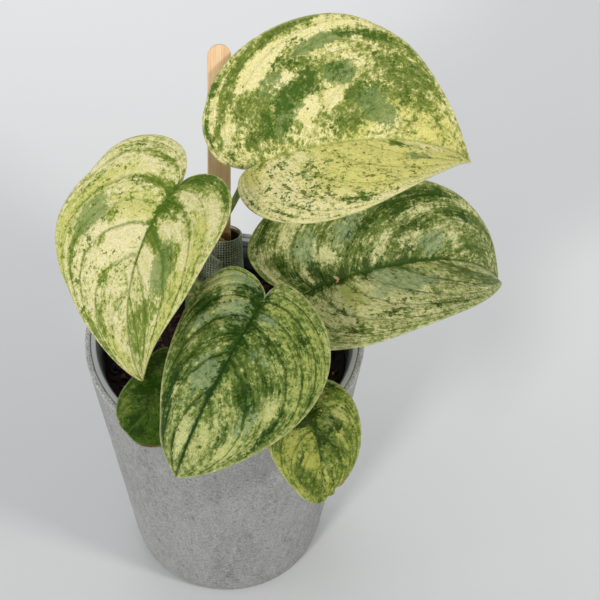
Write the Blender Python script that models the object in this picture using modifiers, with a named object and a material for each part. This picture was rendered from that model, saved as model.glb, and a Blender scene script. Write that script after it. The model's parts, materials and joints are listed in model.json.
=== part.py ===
# Satin pothos in its pot: a variegated climbing aroid with six leaves, two small shoots,
# a mesh sleeve with a wooden label stick, potting mix, a nursery pot and an outer pot.
# The origin is the centre of the outer pot's flat underside. The front of the plant faces -Y.

import math
import random

import bmesh
import bpy
from mathutils import Matrix, Vector, noise

# Every size below is in millimetres, and MM turns it into Blender's metres.
MM = 0.001
GAP = 0.3
TURN_STEPS = 64

# Outer pot: a straight tapering wall that rounds smoothly into a flat foot.
POT_HEIGHT = 143.0
POT_RIM_RADIUS = 63.0
POT_RIM_INNER_RADIUS = 60.5
POT_FOOT_RADIUS = 47.3
POT_FOOT_HEIGHT = 21.0
POT_BASE_RADIUS = 41.8
POT_WALL = 3.0
POT_FLOOR = 4.0
RIM_ROUNDING = 0.8
FOOT_ARC_STEPS = 6
FOOT_HANDLE = 3.0

# Nursery pot: thin plastic that stands inside, with a flat lip flush with the outer rim.
LINER_FLOOR_Z = POT_FLOOR + GAP
LINER_WALL = 1.0
LINER_BASE_RADIUS = 38.5
LINER_TOP_RADIUS = 57.9
LINER_LIP_RADIUS = 60.0
LINER_LIP_DEPTH = 2.6
LINER_TOP_Z = POT_HEIGHT - 0.2
DRAIN_HOLES = 6
DRAIN_HOLE_RADIUS = 3.0
DRAIN_RING_RADIUS = 24.0

# Potting mix: crumbly, with pieces of bark lying in its surface.
SOIL_Z = 127.0
SOIL_RELIEF = 1.6
SOIL_CRUMB = 9.0
SOIL_CELLS = 30
BARK_PIECES = 26
BARK_SEED = 7
BARK_FROM_WALL = 9.0
BARK_LENGTH = (7.0, 12.0)
BARK_BREADTH = (4.0, 7.0)
BARK_DEPTH = (1.8, 2.8)
BARK_TILT = 14.0

# Mesh sleeve: a strip of woven netting rolled into a leaning tube, with an overlapping free edge.
SLEEVE_MOUTH = Vector((-2.3, 40.0, 168.0))
SLEEVE_LEAN = math.radians(22.0)
SLEEVE_LENGTH = 62.0
SLEEVE_RADIUS = 9.0
SLEEVE_WALL = 0.8
SLEEVE_LAP_GAP = 0.5
SLEEVE_OVERLAP = math.radians(75.0)
SLEEVE_SEAM_AT = math.radians(195.0)
SLEEVE_FLAP_DROP = 9.0
SLEEVE_STEPS = 44
LINING_WALL = 0.9
LINING_LENGTH = 16.0
LINING_SUNK = 1.8
LINING_PATH = ((-7.6, 1.2), (-6.6, -4.0), (-2.6, -7.2), (2.6, -7.2), (5.6, -4.6), (4.6, -1.6),
               (1.2, -0.6), (-1.4, -2.6))

# Label stick: a plain round-ended craft stick standing in the sleeve.
STICK_LENGTH = 114.0
STICK_WIDTH = 10.4
STICK_THICKNESS = 2.0
STICK_EDGE = 0.3
STICK_SUNK = 24.0
STICK_LEAN = math.radians(23.0)
STICK_TURN = math.radians(14.0)
STICK_IN_SLEEVE = Vector((-1.5, 3.2, 0.0))

# Stems: the nodes along each, from below the soil to its growing end. The first three are in line.
STEM_RADIUS = 2.6
STEM_LINE = ((-16.5, 15.0, 104.0), (-16.4, 19.0, 120.0), (-16.3, 23.0, 136.0), (-16.3, 29.1, 151.5),
             (-16.4, 33.4, 163.5), (-16.5, 35.7, 171.5), (-16.6, 37.0, 177.0))
SHOOT_RADIUS = 2.0
SHOOT_LINE = ((5.0, -9.0, 108.0), (5.4, -10.1, 120.5), (5.8, -11.2, 133.0), (5.95, -11.9, 138.0),
              (6.1, -12.4, 142.0))
STEMS = {"main": (STEM_LINE, STEM_RADIUS), "side": (SHOOT_LINE, SHOOT_RADIUS)}
NODE_STEPS = 4
NODE_SWELL = 1.13
NODE_WAIST = 0.88
STEM_END = 0.45
STEM_HOLE_OVER = 2.0

# Petioles: each starts a gap away from its node, square to the stem, and goes on as the midrib's ridge.
PETIOLE_ROOT = 2.2
PETIOLE_SWELL = 1.35
PETIOLE_CLEAR = 0.1
RIDGE_SHARES = (0.03, 0.12, 0.22, 0.34, 0.48)
RIDGE_TAPER = 1.2

# Blades: a surface of arcuate rows that run from the joint to the tip, and their thickness.
BLADE_THICKNESS = 0.8
BLADE_ROWS = 18
BLADE_COLUMNS = 5
MIDRIB_RATE = 1.7
LOBE_EASE = 0.55
TIP_DROP_FROM = 0.55
NEARLY_ZERO = 1e-6

# Each leaf: where the blade joins its petiole, how it is turned, its outline and its bends.
# Angles are in degrees. Names that end in _l or _r belong to the left or right half, seen from
# the joint to the tip with the upper face up. back is how far the lobe reaches behind the joint,
# lobe is the half-breadth at that point, wide is where the half is broadest, tip and point shape
# the tip, full is how long the margin stays broad. node is the node of the stem it grows from.
LEAVES = {
    "leaf_upper_right": dict(
        joint=(11.0, 39.0, 214.0), heading=17.0, pitch=16.0, roll=15.0, arch=49.0, sweep=-17.5,
        length=110.5, half_l=56.5, half_r=47.5, back_l=13.0, back_r=9.0, lobe_l=14.5, lobe_r=13.5,
        wide_l=39.5, wide_r=24.0, tip_l=43.0, tip_r=38.0, point_l=0.30, point_r=0.35,
        full_l=0.50, full_r=0.40, fold_l=29.0, fold_r=25.5, curl_l=4.0, curl_r=7.0, tip_drop=6.0,
        wave=0.9, waves=2.5, phase=0.4, petiole_radius=1.5,
        stem="main", node=5,
        petiole=((-9.0, 32.5, 179.0), (-1.0, 32.0, 188.0), (5.0, 34.5, 200.0), (8.8, 37.3, 209.0)),
    ),
    "leaf_middle_right": dict(
        joint=(37.5, 7.5, 168.0), heading=21.0, pitch=12.0, roll=10.5, arch=59.5, sweep=-5.5,
        length=113.0, half_l=43.5, half_r=41.0, back_l=17.5, back_r=17.5, lobe_l=23.0, lobe_r=18.0,
        wide_l=23.0, wide_r=20.5, tip_l=65.5, tip_r=39.5, point_l=0.25, point_r=0.35,
        full_l=0.50, full_r=0.50, fold_l=30.5, fold_r=19.5, curl_l=15.0, curl_r=11.5, tip_drop=7.5,
        wave=1.1, waves=2.5, phase=1.8, petiole_radius=1.5,
        stem="main", node=2,
        petiole=((-8.0, 10.0, 140.0), (8.0, 1.0, 148.0), (24.0, 1.5, 158.5)),
    ),
    "leaf_left": dict(
        joint=(-20.5, 20.0, 221.0), heading=-129.0, pitch=-18.0, roll=11.0, arch=65.0, sweep=22.0,
        length=92.5, half_l=43.0, half_r=47.0, back_l=12.0, back_r=16.5, lobe_l=17.0, lobe_r=15.5,
        wide_l=18.5, wide_r=26.5, tip_l=53.0, tip_r=79.5, point_l=0.30, point_r=0.15,
        full_l=0.40, full_r=0.30, fold_l=16.5, fold_r=8.0, curl_l=9.5, curl_r=8.0, tip_drop=2.5,
        wave=1.2, waves=2.5, phase=0.9, petiole_radius=1.5,
        stem="main", node=4,
        petiole=((-21.0, 26.5, 176.0), (-22.5, 26.0, 194.0), (-21.5, 23.5, 211.0)),
    ),
    "leaf_front": dict(
        joint=(17.5, -23.5, 197.0), heading=-119.0, pitch=-12.5, roll=-0.5, arch=25.0, sweep=-4.0,
        length=85.0, half_l=42.0, half_r=31.0, back_l=12.5, back_r=10.5, lobe_l=4.0, lobe_r=17.0,
        wide_l=24.0, wide_r=11.0, tip_l=71.0, tip_r=55.5, point_l=0.30, point_r=0.25,
        full_l=0.45, full_r=0.30, fold_l=0.5, fold_r=5.0, curl_l=27.0, curl_r=25.0, tip_drop=6.5,
        wave=1.0, waves=2.0, phase=2.6, petiole_radius=1.5,
        stem="main", node=3,
        petiole=((-9.0, 13.0, 160.0), (4.0, -3.0, 175.0), (13.5, -15.5, 189.5)),
    ),
    "leaf_small_right": dict(
        joint=(37.5, -54.5, 163.0), heading=-65.0, pitch=-17.0, roll=-5.5, arch=49.0, sweep=-17.0,
        length=44.0, half_l=20.5, half_r=23.5, back_l=9.0, back_r=7.5, lobe_l=9.0, lobe_r=8.0,
        wide_l=5.5, wide_r=9.5, tip_l=48.5, tip_r=74.0, point_l=0.30, point_r=0.35,
        full_l=0.40, full_r=0.50, fold_l=18.0, fold_r=14.0, curl_l=14.5, curl_r=18.0, tip_drop=1.0,
        wave=0.8, waves=2.0, phase=0.0, petiole_radius=1.1,
        stem="side", node=3,
        petiole=((15.0, -24.0, 143.5), (27.0, -40.5, 156.0)),
    ),
    "leaf_small_left": dict(
        joint=(-19.0, -31.0, 157.0), heading=-119.5, pitch=-5.0, roll=-5.5, arch=14.0, sweep=-12.5,
        length=39.0, half_l=20.5, half_r=15.5, back_l=7.0, back_r=8.0, lobe_l=8.0, lobe_r=9.5,
        wide_l=12.5, wide_r=10.5, tip_l=79.5, tip_r=66.0, point_l=0.50, point_r=0.50,
        full_l=0.70, full_r=0.60, fold_l=7.0, fold_r=13.5, curl_l=22.0, curl_r=21.0, tip_drop=0.5,
        wave=0.6, waves=2.0, phase=1.2, petiole_radius=1.1,
        stem="side", node=2,
        petiole=((-3.5, -16.0, 139.0), (-12.5, -25.0, 151.0)),
    ),
}

LEAF_COLOUR = {
    "leaf_upper_right": "B9C47C",
    "leaf_middle_right": "7D9560",
    "leaf_left": "B4C27A",
    "leaf_front": "7E9A55",
    "leaf_small_right": "8EA452",
    "leaf_small_left": "4F6A35",
}


def clear_scene():
    for old in list(bpy.data.objects):
        bpy.data.objects.remove(old, do_unlink=True)


def new_collection(name):
    collection = bpy.data.collections.new(name)
    bpy.context.scene.collection.children.link(collection)
    return collection


def material(name, colour, roughness, metallic=0.0):
    """A Principled material from an sRGB hex colour."""
    made = bpy.data.materials.new(name)
    made.use_nodes = True
    channels = [int(colour[i:i + 2], 16) / 255 for i in (0, 2, 4)]
    linear = [c / 12.92 if c <= 0.04045 else ((c + 0.055) / 1.055) ** 2.4 for c in channels]
    shader = made.node_tree.nodes["Principled BSDF"]
    shader.inputs["Base Color"].default_value = (*linear, 1.0)
    shader.inputs["Roughness"].default_value = roughness
    shader.inputs["Metallic"].default_value = metallic
    return made


def mesh_object(name, bm, collection, finish=None):
    """A mesh object from a bmesh in millimetres."""
    bmesh.ops.scale(bm, vec=(MM, MM, MM), verts=bm.verts)
    mesh = bpy.data.meshes.new(name)
    bm.to_mesh(mesh)
    bm.free()
    obj = bpy.data.objects.new(name, mesh)
    collection.objects.link(obj)
    if finish:
        mesh.materials.append(finish)
    return obj


def hide_cutter(obj):
    obj.hide_render = True
    obj.display_type = "WIRE"


def bake_modifiers(obj):
    """Replaces the object's mesh with the one its modifiers make."""
    bpy.context.view_layer.update()
    graph = bpy.context.evaluated_depsgraph_get()
    mesh = bpy.data.meshes.new_from_object(obj.evaluated_get(graph))
    obj.modifiers.clear()
    obj.data = mesh


def add_boolean(obj, name, operation, other=None, group=None):
    modifier = obj.modifiers.new(name, "BOOLEAN")
    modifier.operation = operation
    modifier.solver = "EXACT"
    if group:
        modifier.operand_type = "COLLECTION"
        modifier.collection = group
    else:
        modifier.object = other


def turned(name, profile, collection, finish):
    """A solid turned about Z from (radius, height) points that run down the outer side."""
    bm = bmesh.new()
    verts = [bm.verts.new((radius, 0.0, height)) for radius, height in profile]
    for upper, lower in zip(verts, verts[1:]):
        bm.edges.new((upper, lower))
    obj = mesh_object(name, bm, collection, finish)
    screw = obj.modifiers.new("Turn", "SCREW")
    screw.axis = "Z"
    screw.angle = 2 * math.pi
    screw.steps = TURN_STEPS
    screw.render_steps = TURN_STEPS
    screw.use_merge_vertices = True
    screw.merge_threshold = 0.00001
    return obj


def smooth_path(points, steps):
    """Points on a smooth curve through the given ones, with each tangent as long as its stretch."""
    path = [Vector(p) for p in points]
    ways = [(b - a).normalized() for a, b in zip(path, path[1:])]
    tangents = [ways[0]] + [(a + b).normalized() for a, b in zip(ways, ways[1:])] + [ways[-1]]
    result = []
    for start, end, leave, arrive in zip(path, path[1:], tangents, tangents[1:]):
        span = (end - start).length
        for i in range(steps):
            t = i / steps
            result.append(start * (2 * t ** 3 - 3 * t ** 2 + 1) + leave * span * (t ** 3 - 2 * t ** 2 + t)
                          + end * (3 * t ** 2 - 2 * t ** 3) + arrive * span * (t ** 3 - t ** 2))
    result.append(path[-1])
    return result


def tube_curve(name, points, radii, collection, finish=None):
    """A round rod along points, with a radius at each and filled caps."""
    data = bpy.data.curves.new(name, "CURVE")
    data.dimensions = "3D"
    data.bevel_depth = MM
    data.bevel_resolution = 2
    data.use_fill_caps = True
    spline = data.splines.new("POLY")
    spline.points.add(len(points) - 1)
    for knot, place, radius in zip(spline.points, points, radii):
        knot.co = (*(Vector(place) * MM), 1.0)
        knot.radius = radius
    obj = bpy.data.objects.new(name, data)
    collection.objects.link(obj)
    if finish:
        data.materials.append(finish)
    return obj


def curve_to_mesh(curve, collection):
    """A welded mesh object that takes the place of a curve object."""
    bpy.context.view_layer.update()
    graph = bpy.context.evaluated_depsgraph_get()
    mesh = bpy.data.meshes.new_from_object(curve.evaluated_get(graph))
    bm = bmesh.new()
    bm.from_mesh(mesh)
    bmesh.ops.remove_doubles(bm, verts=bm.verts, dist=0.000001)
    bm.to_mesh(mesh)
    bm.free()
    obj = bpy.data.objects.new(curve.name + "_mesh", mesh)
    obj.matrix_world = curve.matrix_world
    collection.objects.link(obj)
    bpy.data.objects.remove(curve, do_unlink=True)
    return obj


def cubic(p0, p1, p2, p3, steps):
    """Points of a cubic Bezier curve, without its last one."""
    result = []
    for i in range(steps):
        t = i / steps
        s = 1 - t
        weights = (s ** 3, 3 * s * s * t, 3 * s * t * t, t ** 3)
        result.append(tuple(sum(w * p[k] for w, p in zip(weights, (p0, p1, p2, p3))) for k in (0, 1)))
    return result


def make_outer_pot(collection):
    slope = (POT_RIM_RADIUS - POT_FOOT_RADIUS) / (POT_HEIGHT - POT_FOOT_HEIGHT)
    handle = 0.55 * POT_FOOT_HEIGHT
    inner_foot = POT_FOOT_RADIUS - POT_WALL
    profile = [
        (0.0, POT_FLOOR),
        (POT_BASE_RADIUS - POT_WALL, POT_FLOOR),
        (inner_foot, POT_FOOT_HEIGHT),
        (POT_RIM_INNER_RADIUS, POT_HEIGHT - RIM_ROUNDING),
        (POT_RIM_INNER_RADIUS + RIM_ROUNDING / 2, POT_HEIGHT),
        (POT_RIM_RADIUS - RIM_ROUNDING, POT_HEIGHT),
        (POT_RIM_RADIUS, POT_HEIGHT - RIM_ROUNDING),
    ]
    profile += cubic((POT_FOOT_RADIUS, POT_FOOT_HEIGHT),
                     (POT_FOOT_RADIUS - slope * handle, POT_FOOT_HEIGHT - handle),
                     (POT_BASE_RADIUS + FOOT_HANDLE, 0.0), (POT_BASE_RADIUS, 0.0), FOOT_ARC_STEPS)
    profile += [(POT_BASE_RADIUS, 0.0), (0.0, 0.0)]
    return turned("outer_pot", profile, collection, material("Cast_grey_stoneware", "8E8F92", 0.85))


def liner_radius(height):
    """Outer radius of the nursery pot's wall at a height."""
    share = (height - LINER_FLOOR_Z) / (LINER_TOP_Z - LINER_FLOOR_Z)
    return LINER_BASE_RADIUS + share * (LINER_TOP_RADIUS - LINER_BASE_RADIUS)


def make_nursery_pot(collection, cutters):
    floor_top = LINER_FLOOR_Z + LINER_WALL
    lip_bottom = LINER_TOP_Z - LINER_LIP_DEPTH
    profile = [
        (0.0, floor_top),
        (liner_radius(floor_top) - LINER_WALL, floor_top),
        (liner_radius(lip_bottom) - LINER_WALL, lip_bottom),
        (LINER_TOP_RADIUS, LINER_TOP_Z),
        (LINER_LIP_RADIUS, LINER_TOP_Z),
        (LINER_LIP_RADIUS, lip_bottom),
        (liner_radius(lip_bottom), lip_bottom),
        (LINER_BASE_RADIUS, LINER_FLOOR_Z),
        (0.0, LINER_FLOOR_Z),
    ]
    pot = turned("nursery_pot", profile, collection, material("Moulded_polypropylene", "77797C", 0.4))
    for i in range(DRAIN_HOLES):
        angle = 2 * math.pi * i / DRAIN_HOLES
        bm = bmesh.new()
        place = (DRAIN_RING_RADIUS * math.cos(angle), DRAIN_RING_RADIUS * math.sin(angle), LINER_FLOOR_Z)
        bmesh.ops.create_cone(bm, cap_ends=True, segments=12, radius1=DRAIN_HOLE_RADIUS,
                              radius2=DRAIN_HOLE_RADIUS, depth=4 * LINER_WALL,
                              matrix=Matrix.Translation(place))
        hole = mesh_object(f"drain_cutter_{i}", bm, cutters)
        hide_cutter(hole)
        add_boolean(pot, f"Drain {i}", "DIFFERENCE", hole)
    return pot


def soil_height(x, y):
    """Height of the soil's crumbly surface over a point of the pot."""
    coarse = noise.noise(Vector((x, y, 0.0)) / (3 * SOIL_CRUMB))
    fine = noise.noise(Vector((x, y, 40.0)) / SOIL_CRUMB)
    return SOIL_Z + SOIL_RELIEF * (1.2 * coarse + fine)


def bark_piece(bm, chance):
    """One flat, wedge-ended piece of bark lying in the surface."""
    reach = liner_radius(SOIL_Z) - BARK_FROM_WALL
    radius = reach * math.sqrt(chance.uniform(0.05, 1.0))
    angle = chance.uniform(0, 2 * math.pi)
    x, y = radius * math.cos(angle), radius * math.sin(angle)
    size = (chance.uniform(*BARK_LENGTH), chance.uniform(*BARK_BREADTH), chance.uniform(*BARK_DEPTH))
    tilt = Matrix.Rotation(math.radians(chance.uniform(-BARK_TILT, BARK_TILT)), 4, "X")
    turn = Matrix.Rotation(chance.uniform(0, math.pi), 4, "Z")
    place = Matrix.Translation((x, y, soil_height(x, y) + 0.3))
    made = bmesh.ops.create_cube(bm, size=1.0, matrix=place @ turn @ tilt @ Matrix.Diagonal((*size, 1.0)))
    ends = [v for v in made["verts"] if (turn.inverted() @ (v.co - place.translation)).x > 0]
    bmesh.ops.scale(bm, vec=(1.0, 1.0, 0.55), verts=ends, space=Matrix.Translation(-place.translation))


def make_soil(collection, cutters, stem_holes):
    """Potting mix that fills the nursery pot, with bark in its surface and holes for what stands in it."""
    bottom = LINER_FLOOR_Z + LINER_WALL + GAP
    top = SOIL_Z + 3 * SOIL_RELIEF
    inner = LINER_WALL + GAP
    bm = bmesh.new()
    bmesh.ops.create_cone(bm, cap_ends=True, segments=TURN_STEPS, radius1=liner_radius(bottom) - inner,
                          radius2=liner_radius(top) - inner, depth=top - bottom,
                          matrix=Matrix.Translation((0, 0, (top + bottom) / 2)))
    soil = mesh_object("potting_soil", bm, collection, material("Peat_and_bark_mix", "2A221D", 0.95))

    slab = bmesh.new()
    bmesh.ops.create_grid(slab, x_segments=SOIL_CELLS, y_segments=SOIL_CELLS, size=LINER_TOP_RADIUS + 4)
    for vert in slab.verts:
        vert.co.z = soil_height(vert.co.x, vert.co.y)
    sheet = slab.faces[:]
    lower = bmesh.ops.extrude_face_region(slab, geom=sheet)["geom"]
    lower_verts = [item for item in lower if isinstance(item, bmesh.types.BMVert)]
    for vert in lower_verts:
        vert.co.z = 0.0
    bmesh.ops.dissolve_limit(slab, angle_limit=0.001, verts=lower_verts,
                             edges=list({edge for vert in lower_verts for edge in vert.link_edges}))
    bmesh.ops.recalc_face_normals(slab, faces=slab.faces)
    cutter = mesh_object("soil_surface_cutter", slab, cutters)
    hide_cutter(cutter)
    add_boolean(soil, "Surface", "INTERSECT", cutter)
    bake_modifiers(soil)

    chips = bpy.data.collections.new("bark_pieces")
    bpy.context.scene.collection.children.link(chips)
    chance = random.Random(BARK_SEED)
    for i in range(BARK_PIECES):
        chip = bmesh.new()
        bark_piece(chip, chance)
        mesh_object(f"bark_{i}", chip, chips)
    add_boolean(soil, "Bark", "UNION", group=chips)
    bake_modifiers(soil)
    for chip in list(chips.objects):
        bpy.data.objects.remove(chip, do_unlink=True)
    bpy.data.collections.remove(chips)

    for i, (low, high, radius) in enumerate(stem_holes):
        hole = bmesh.new()
        axis = high - low
        turn = axis.to_track_quat("Z", "Y").to_matrix().to_4x4()
        bmesh.ops.create_cone(hole, cap_ends=True, segments=24, radius1=radius, radius2=radius,
                              depth=axis.length, matrix=Matrix.Translation((low + high) / 2) @ turn)
        cutter = mesh_object(f"stem_hole_cutter_{i}", hole, cutters)
        hide_cutter(cutter)
        add_boolean(soil, f"Stem hole {i}", "DIFFERENCE", cutter)
    return soil


def sleeve_frame():
    """The sleeve's place: its own Z runs up its axis, and its mouth is at the origin."""
    return Matrix.Translation(SLEEVE_MOUTH) @ Matrix.Rotation(-SLEEVE_LEAN, 4, "X")


def rolled_strip(name, path, top_at, bottom, rows, wall, collection, finish):
    """A strip that stands along a path about the sleeve's axis, with its thickness on the path's left."""
    bm = bmesh.new()
    columns = []
    for i, (x, y) in enumerate(path):
        top = top_at(i / (len(path) - 1))
        columns.append([bm.verts.new((x, y, bottom + (top - bottom) * j / rows)) for j in range(rows + 1)])
    for left, right in zip(columns, columns[1:]):
        for j in range(rows):
            bm.faces.new((left[j], right[j], right[j + 1], left[j + 1]))
    bmesh.ops.transform(bm, matrix=sleeve_frame(), verts=bm.verts)
    obj = mesh_object(name, bm, collection, finish)
    solidify = obj.modifiers.new("Wall", "SOLIDIFY")
    solidify.thickness = wall * MM
    solidify.offset = -1.0
    return obj


def make_sleeve(collection):
    """Woven netting rolled once round, whose free edge laps over the start and is cut lower."""
    turn = 2 * math.pi + SLEEVE_OVERLAP
    lap = SLEEVE_OVERLAP / turn
    step_out = SLEEVE_WALL + SLEEVE_LAP_GAP
    path = []
    for i in range(SLEEVE_STEPS + 1):
        share = i / SLEEVE_STEPS
        rise = max(0.0, min(1.0, (share - (1 - 2 * lap)) / lap))
        radius = SLEEVE_RADIUS + step_out * (3 * rise ** 2 - 2 * rise ** 3)
        angle = SLEEVE_SEAM_AT + turn * share
        path.append((radius * math.cos(angle), radius * math.sin(angle)))

    def top_at(share):
        drop = max(0.0, (share - (1 - 1.2 * lap)) / (1.2 * lap))
        return -SLEEVE_FLAP_DROP * drop

    return rolled_strip("mesh_sleeve", path, top_at, -SLEEVE_LENGTH, 3, SLEEVE_WALL, collection,
                        material("Woven_plant_netting", "6B7364", 0.8))


def make_lining(collection):
    """Brown fibre paper in the front of the sleeve, whose inner end curls into a small roll."""
    path = [(p.x, p.y) for p in smooth_path([(x, y, 0.0) for x, y in LINING_PATH], 4)]

    def top_at(share):
        return -LINING_SUNK + math.sin(3 * math.pi * share)

    return rolled_strip("sleeve_lining", path, top_at, -LINING_LENGTH, 1, LINING_WALL, collection,
                        material("Brown_fibre_paper", "8A5A30", 0.9))


def make_core(collection, cutters):
    """Dark fibre packing that fills the sleeve below its lining, with a slot for the stick."""
    top = -LINING_LENGTH - GAP
    bottom = -SLEEVE_LENGTH
    radius = SLEEVE_RADIUS - SLEEVE_WALL - GAP
    bm = bmesh.new()
    bmesh.ops.create_cone(bm, cap_ends=True, segments=24, radius1=radius, radius2=radius,
                          depth=top - bottom,
                          matrix=sleeve_frame() @ Matrix.Translation((0, 0, (top + bottom) / 2)))
    core = mesh_object("sleeve_core", bm, collection, material("Coconut_fibre", "3A2A1E", 0.95))
    slot = bmesh.new()
    size = (STICK_WIDTH + 2 * GAP, STICK_THICKNESS + 2 * GAP, STICK_LENGTH + 2 * GAP)
    bmesh.ops.create_cube(slot, size=1.0, matrix=stick_frame() @ Matrix.Diagonal((*size, 1.0)))
    cutter = mesh_object("stick_slot_cutter", slot, cutters)
    hide_cutter(cutter)
    add_boolean(core, "Slot", "DIFFERENCE", cutter)
    return core


def stick_frame():
    """The stick's middle, with its own Z along its length and its broad face towards -Y."""
    lean = Matrix.Rotation(-STICK_LEAN, 4, "X")
    middle = STICK_LENGTH / 2 - STICK_SUNK
    mouth = sleeve_frame() @ STICK_IN_SLEEVE
    return (Matrix.Translation(mouth) @ lean @ Matrix.Rotation(STICK_TURN, 4, "Z")
            @ Matrix.Translation((0, 0, middle)))


def make_stick(collection):
    """A flat outline with two round ends, extruded to the stick's thickness."""
    half = STICK_WIDTH / 2
    straight = STICK_LENGTH / 2 - half
    outline = []
    for end in (1, -1):
        for i in range(13):
            angle = math.pi * i / 12
            outline.append((end * half * math.cos(angle), end * (straight + half * math.sin(angle))))
    data = bpy.data.curves.new("stick_outline", "CURVE")
    data.dimensions = "2D"
    data.fill_mode = "BOTH"
    data.extrude = (STICK_THICKNESS / 2 - STICK_EDGE) * MM
    data.bevel_depth = STICK_EDGE * MM
    data.bevel_resolution = 1
    data.offset = -STICK_EDGE * MM
    spline = data.splines.new("POLY")
    spline.points.add(len(outline) - 1)
    spline.use_cyclic_u = True
    for knot, (x, y) in zip(spline.points, outline):
        knot.co = (x * MM, y * MM, 0.0, 1.0)
    data.materials.append(material("Birch_wood", "D9B48A", 0.6))
    stick = bpy.data.objects.new("label_stick", data)
    collection.objects.link(stick)
    place = stick_frame()
    place.translation *= MM
    stick.matrix_world = place @ Matrix.Rotation(math.pi / 2, 4, "X")
    return stick


def make_stem(name, line, radius, collection, finish):
    """A stem of slightly swollen nodes, with a blunt growing end."""
    path = smooth_path(line, NODE_STEPS)
    radii = []
    for i in range(len(path)):
        swell = (NODE_SWELL - NODE_WAIST) * (1 + math.cos(2 * math.pi * i / NODE_STEPS)) / 2
        radii.append(radius * (NODE_WAIST + swell))
    radii[-1] = radius * STEM_END
    return tube_curve(name, path, radii, collection, finish)


def margin(leaf, side):
    """One half's margin in the flat blade, from the joint round the lobe to the tip, evenly spaced."""
    length = leaf["length"]
    half, back, lobe = leaf["half_" + side], leaf["back_" + side], leaf["lobe_" + side]
    wide, full, point = leaf["wide_" + side], leaf["full_" + side], leaf["point_" + side]
    angle = math.radians(leaf["tip_" + side])
    run = length - wide
    line = cubic((0, 0), (-LOBE_EASE * back, 0.02 * lobe),
                 (-back, lobe * (1 - LOBE_EASE)), (-back, lobe), 12)
    line += cubic((-back, lobe), (-back, lobe + LOBE_EASE * (half - lobe)),
                  (wide - LOBE_EASE * (wide + back), half), (wide, half), 12)
    toward = (length - point * run * math.cos(angle), point * run * math.sin(angle))
    line += cubic((wide, half), (wide + full * run, half), toward, (length, 0), 24)
    line.append((length, 0.0))
    total = [0.0]
    for a, b in zip(line, line[1:]):
        total.append(total[-1] + math.dist(a, b))
    spaced = []
    for i in range(BLADE_ROWS + 1):
        goal = total[-1] * i / BLADE_ROWS
        k = next(j for j in range(1, len(line)) if total[j] >= goal - 1e-9)
        share = (goal - total[k - 1]) / (total[k] - total[k - 1])
        spaced.append(tuple(line[k - 1][n] + share * (line[k][n] - line[k - 1][n]) for n in (0, 1)))
    return spaced


def leaf_axes(leaf):
    """Forward, left and up directions of a blade."""
    heading, pitch, roll = (math.radians(leaf[key]) for key in ("heading", "pitch", "roll"))
    ahead = Vector((math.cos(heading), math.sin(heading), 0.0))
    forward = math.cos(pitch) * ahead + Vector((0.0, 0.0, math.sin(pitch)))
    level = Vector((-math.sin(heading), math.cos(heading), 0.0))
    rise = forward.cross(level)
    return (forward, math.cos(roll) * level + math.sin(roll) * rise,
            math.cos(roll) * rise - math.sin(roll) * level)


def bent(leaf, side, x, y, lift):
    """Where a point of the flat blade goes when the blade is folded, curled, swept and arched."""
    length = leaf["length"]
    fold = math.radians(leaf["fold_" + side])
    curl = math.radians(leaf["curl_" + side]) / leaf["half_" + side]
    across = (math.sin(fold) - math.sin(fold - curl * y)) / curl
    height = (math.cos(fold - curl * y) - math.cos(fold)) / curl + lift
    height -= leaf["tip_drop"] * (max(0.0, x / length - TIP_DROP_FROM) / (1 - TIP_DROP_FROM)) ** 2
    across *= 1 if side == "l" else -1
    sweep = math.radians(leaf["sweep"]) / length
    turn = sweep * x
    ahead = math.sin(turn) / sweep - across * math.sin(turn)
    aside = (1 - math.cos(turn)) / sweep + across * math.cos(turn)
    arch = math.radians(leaf["arch"]) / length
    droop = arch * ahead
    forward, left, up = leaf_axes(leaf)
    return (Vector(leaf["joint"]) + forward * (math.sin(droop) / arch + height * math.sin(droop))
            + left * aside + up * ((math.cos(droop) - 1) / arch + height * math.cos(droop)))


def blade_point(leaf, side, edge, q, row):
    """A point of the upper face: q runs from the midrib to the margin, row from the joint to the tip."""
    t = row / BLADE_ROWS
    mid = leaf["length"] * t ** MIDRIB_RATE
    x = mid + q * (edge[row][0] - mid)
    y = q * edge[row][1]
    ripple = leaf["wave"] * q ** 3 * math.sin(2 * math.pi * leaf["waves"] * t + leaf["phase"])
    if side == "r":
        ripple *= -1
    return bent(leaf, side, x, y, ripple * math.sin(math.pi * t))


def blade_mesh(leaf):
    """The upper face, in triangles, as rows that run from the joint to the tip on both halves."""
    bm = bmesh.new()
    base = bm.verts.new(Vector(leaf["joint"]))
    tip = bm.verts.new(bent(leaf, "l", leaf["length"], NEARLY_ZERO, 0.0))
    columns = []
    for side, order in (("r", range(BLADE_COLUMNS, 0, -1)), ("l", range(0, BLADE_COLUMNS + 1))):
        edge = margin(leaf, side)
        for k in order:
            q = max(k / BLADE_COLUMNS, NEARLY_ZERO)
            rows = range(1, BLADE_ROWS)
            columns.append([bm.verts.new(blade_point(leaf, side, edge, q, row)) for row in rows])
    for right, left in zip(columns, columns[1:]):
        bm.faces.new((base, right[0], left[0]))
        bm.faces.new((right[-1], tip, left[-1]))
        for row in range(BLADE_ROWS - 2):
            bm.faces.new((right[row], right[row + 1], left[row + 1]))
            bm.faces.new((right[row], left[row + 1], left[row]))
    return bm


def petiole_root(leaf):
    """The first two centres of a petiole, square to the stem it grows from and a gap away from it."""
    line, radius = STEMS[leaf["stem"]]
    below, centre, above = (Vector(line[leaf["node"] + step]) for step in (-1, 0, 1))
    along = (above - below).normalized()
    away = Vector(leaf["petiole"][0]) - centre
    away = (away - along * away.dot(along)).normalized()
    start = centre + away * (radius * NODE_SWELL + GAP + PETIOLE_CLEAR)
    return [start, start + away * PETIOLE_ROOT]


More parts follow.
